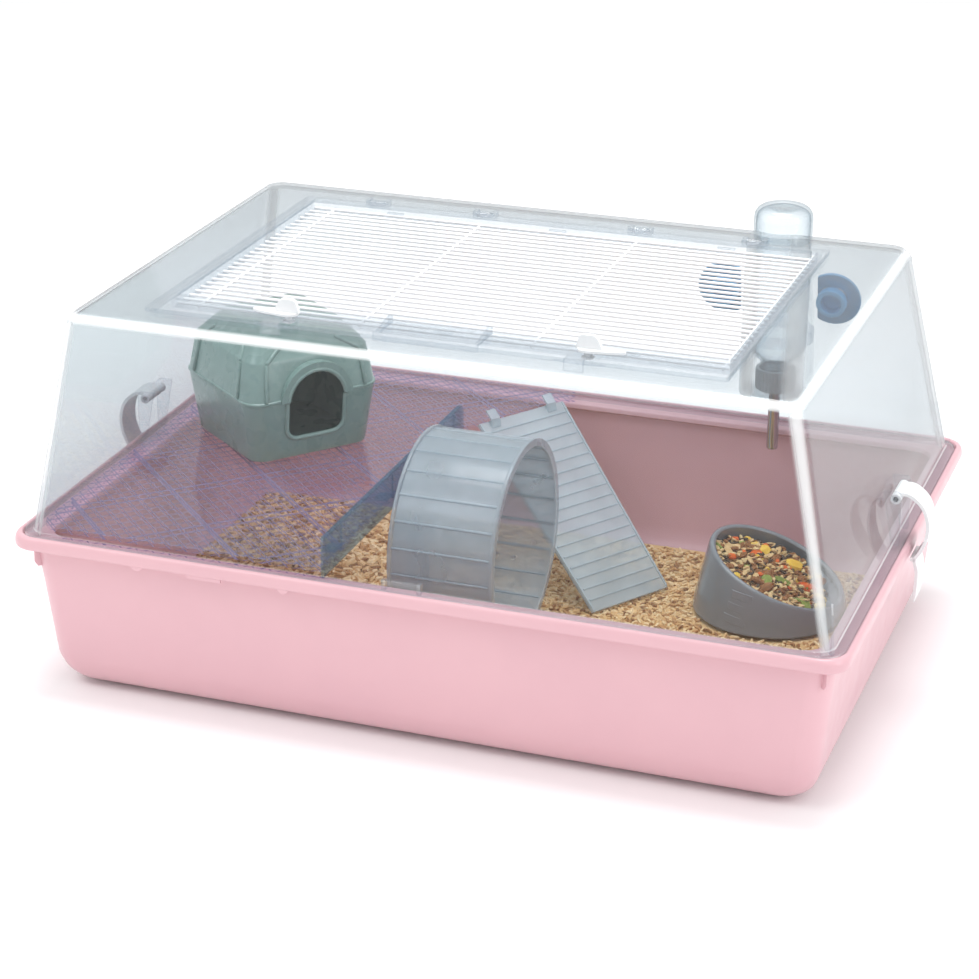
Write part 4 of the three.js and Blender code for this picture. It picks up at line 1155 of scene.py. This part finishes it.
BOWL = plastic("bowl_plastic", (122, 127, 132), (133, 138, 143), (0.16, 0.24), 900, 0.01, coat=0.4)
BOTTLE = clear("bottle_clear", (251, 253, 254), (182, 196, 204), 0.01, (236, 242, 245), 0.02, 0.05, power=2.2)
CAP = clear("cap_milky", (226, 232, 236), (190, 200, 206), 0.45, (206, 213, 218), 0.2, 0.05)
SEAL = plastic("seal_rubber", (74, 74, 72), (92, 92, 90), (0.6, 0.8), 700, 0.2)
STEEL = plastic("tube_steel", (168, 170, 174), (196, 198, 202), (0.14, 0.24), 2600, 0.03, metal=1.0)
CHROME = plastic("ball_steel", (206, 208, 212), (222, 224, 228), (0.04, 0.09), 3000, 0.01, metal=1.0)
BLUE = plastic("plug_blue", (92, 158, 206), (108, 172, 216), (0.34, 0.46), 1100, 0.08)
PELLET = [wood_pellets("pellet_" + name, dark, light) for name, dark, light in (
    ("a", (208, 166, 112), (242, 208, 156)), ("b", (230, 194, 142), (250, 228, 186)),
    ("c", (180, 134, 86), (220, 174, 120)), ("d", (136, 96, 60), (182, 136, 90)))]
GRAIN = [wood_pellets("grain_" + name, dark, light) for name, dark, light in (
    ("flake", (198, 160, 104), (232, 204, 156)), ("brown", (120, 76, 40), (168, 116, 66)),
    ("oat", (206, 176, 118), (236, 214, 164)), ("seed", (58, 44, 34), (104, 84, 62)),
    ("orange", (206, 84, 28), (232, 120, 48)), ("green", (112, 128, 52), (158, 168, 84)),
    ("yellow", (222, 176, 52), (244, 210, 98)))]


# ---------- assembly ----------
place(make_tub(), "tub", "pink_plastic", PINK)
place(make_hood(), "cover", "clear_plastic", HOOD)
fittings = make_hood_fittings()
fittings.data.materials.append(DOOR)
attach(fittings, BODY_OF["cover"])
place(make_door(), "door_frame", "door_clear_plastic", DOOR)
place(make_grille(), "door_grille", "white_wire", WIRE)
for side, end in ((-1, "left"), (1, "right")):
    place(make_latch(side), "turn_latch_" + end, "white_plastic", WHITE)
    place(make_clip(side), "side_clip_" + end, "white_plastic", WHITE)
    place(make_plug(side), "port_plug_" + end, "plug_blue", BLUE)
place(make_platform(), "platform", "blue_clear_plastic", PLATFORM)
place(make_fence(), "platform_fence", "fence_clear_plastic", FENCE)
place(make_ramp(), "ramp", "ramp_plastic", RAMP)
place(make_wheel(), "wheel_drum", "wheel_plastic", WHEEL)
place(make_stand(), "wheel_stand", "stand_plastic", WHEEL)
place(make_axle(), "wheel_axle", "axle_white", AXLE)
place(make_cap(), "wheel_cap", "axle_white", AXLE)
house_low, house_high, house_trim = make_house()
place(house_low, "house_base", "sage_plastic", SAGE)
place(house_high, "house_roof", "sage_plastic", SAGE)
for piece, node in zip(house_trim, ("house_base", "house_roof", "house_roof")):
    piece.data.materials.append(SAGE)
    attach(piece, BODY_OF[node])
place(make_bowl(), "food_bowl", "bowl_grey", BOWL)
place(make_food(), "food_mix", "seed_food", *GRAIN)
place(make_bedding(), "bedding", "wood_pellets", *PELLET)
place(make_bottle(), "bottle", "bottle_clear", BOTTLE)
place(make_cap_piece(), "bottle_cap", "cap_grey", CAP)
place(make_seal(), "bottle_seal", "seal_rubber", SEAL)
place(make_tube(), "spout_tube", "steel", STEEL)
place(make_ball(), "spout_ball", "ball_chrome", CHROME)

# ---------- floor, light and camera ----------
bm = bmesh.new()
bmesh.ops.create_grid(bm, x_segments=2, y_segments=2, size=6.0)
floor_mesh = bpy.data.meshes.new("floor")
bm.to_mesh(floor_mesh)
bm.free()
floor = bpy.data.objects.new("floor", floor_mesh)
floor.location = (0, 0, -0.0004)
bpy.context.scene.collection.objects.link(floor)
n = Nodes("floor_pale")
shader = n.add("ShaderNodeBsdfPrincipled")
shader.inputs["Base Color"].default_value = (0.93, 0.93, 0.935, 1)
shader.inputs["Roughness"].default_value = 0.9
n.link(shader.outputs[0], n.out.inputs["Surface"])
floor_mesh.materials.append(n.material)

world = bpy.data.worlds.new("studio")
bpy.context.scene.world = world
world.use_nodes = True
world.node_tree.nodes["Background"].inputs["Color"].default_value = (1.0, 1.0, 1.0, 1)
world.node_tree.nodes["Background"].inputs["Strength"].default_value = 0.92


def area_light(name, at, target, size, power):
    light = bpy.data.lights.new(name, "AREA")
    light.shape = "RECTANGLE"
    light.size, light.size_y = size
    light.energy = power
    obj = bpy.data.objects.new(name, light)
    obj.location = at
    obj.rotation_euler = (Vector(target) - Vector(at)).to_track_quat("-Z", "Y").to_euler()
    bpy.context.scene.collection.objects.link(obj)


area_light("key", (-0.9, -1.1, 1.7), (0, 0, 0.1), (1.2, 0.7), 8)
area_light("side", (1.9, -0.5, 1.1), (0.1, 0, 0.12), (0.5, 1.2), 8)
area_light("top", (0.0, 0.1, 1.9), (0, 0, 0.1), (1.2, 0.8), 22)

camera_data = bpy.data.cameras.new("camera")
camera = bpy.data.objects.new("camera", camera_data)
bpy.context.scene.collection.objects.link(camera)
camera_data.lens = 99.9
camera_data.sensor_width = 36
camera_data.shift_x = 0.0717
camera_data.shift_y = 0.0453
camera_data.clip_start, camera_data.clip_end = 0.05, 50
eye, aim = Vector((0.5505, -1.6198, 0.8132)), Vector((0.01343, -0.20235, 0.16153))
camera.location = eye
roll = Matrix.Rotation(math.radians(-0.188), 4, "Z")
look = (aim - eye).to_track_quat("-Z", "Y").to_matrix().to_4x4() @ roll
camera.rotation_euler = look.to_euler()
bpy.context.scene.camera = camera
bpy.context.scene.view_settings.view_transform = "Standard"
bpy.context.scene.cycles.transparent_max_bounces = 40
bpy.context.scene.cycles.max_bounces = 10
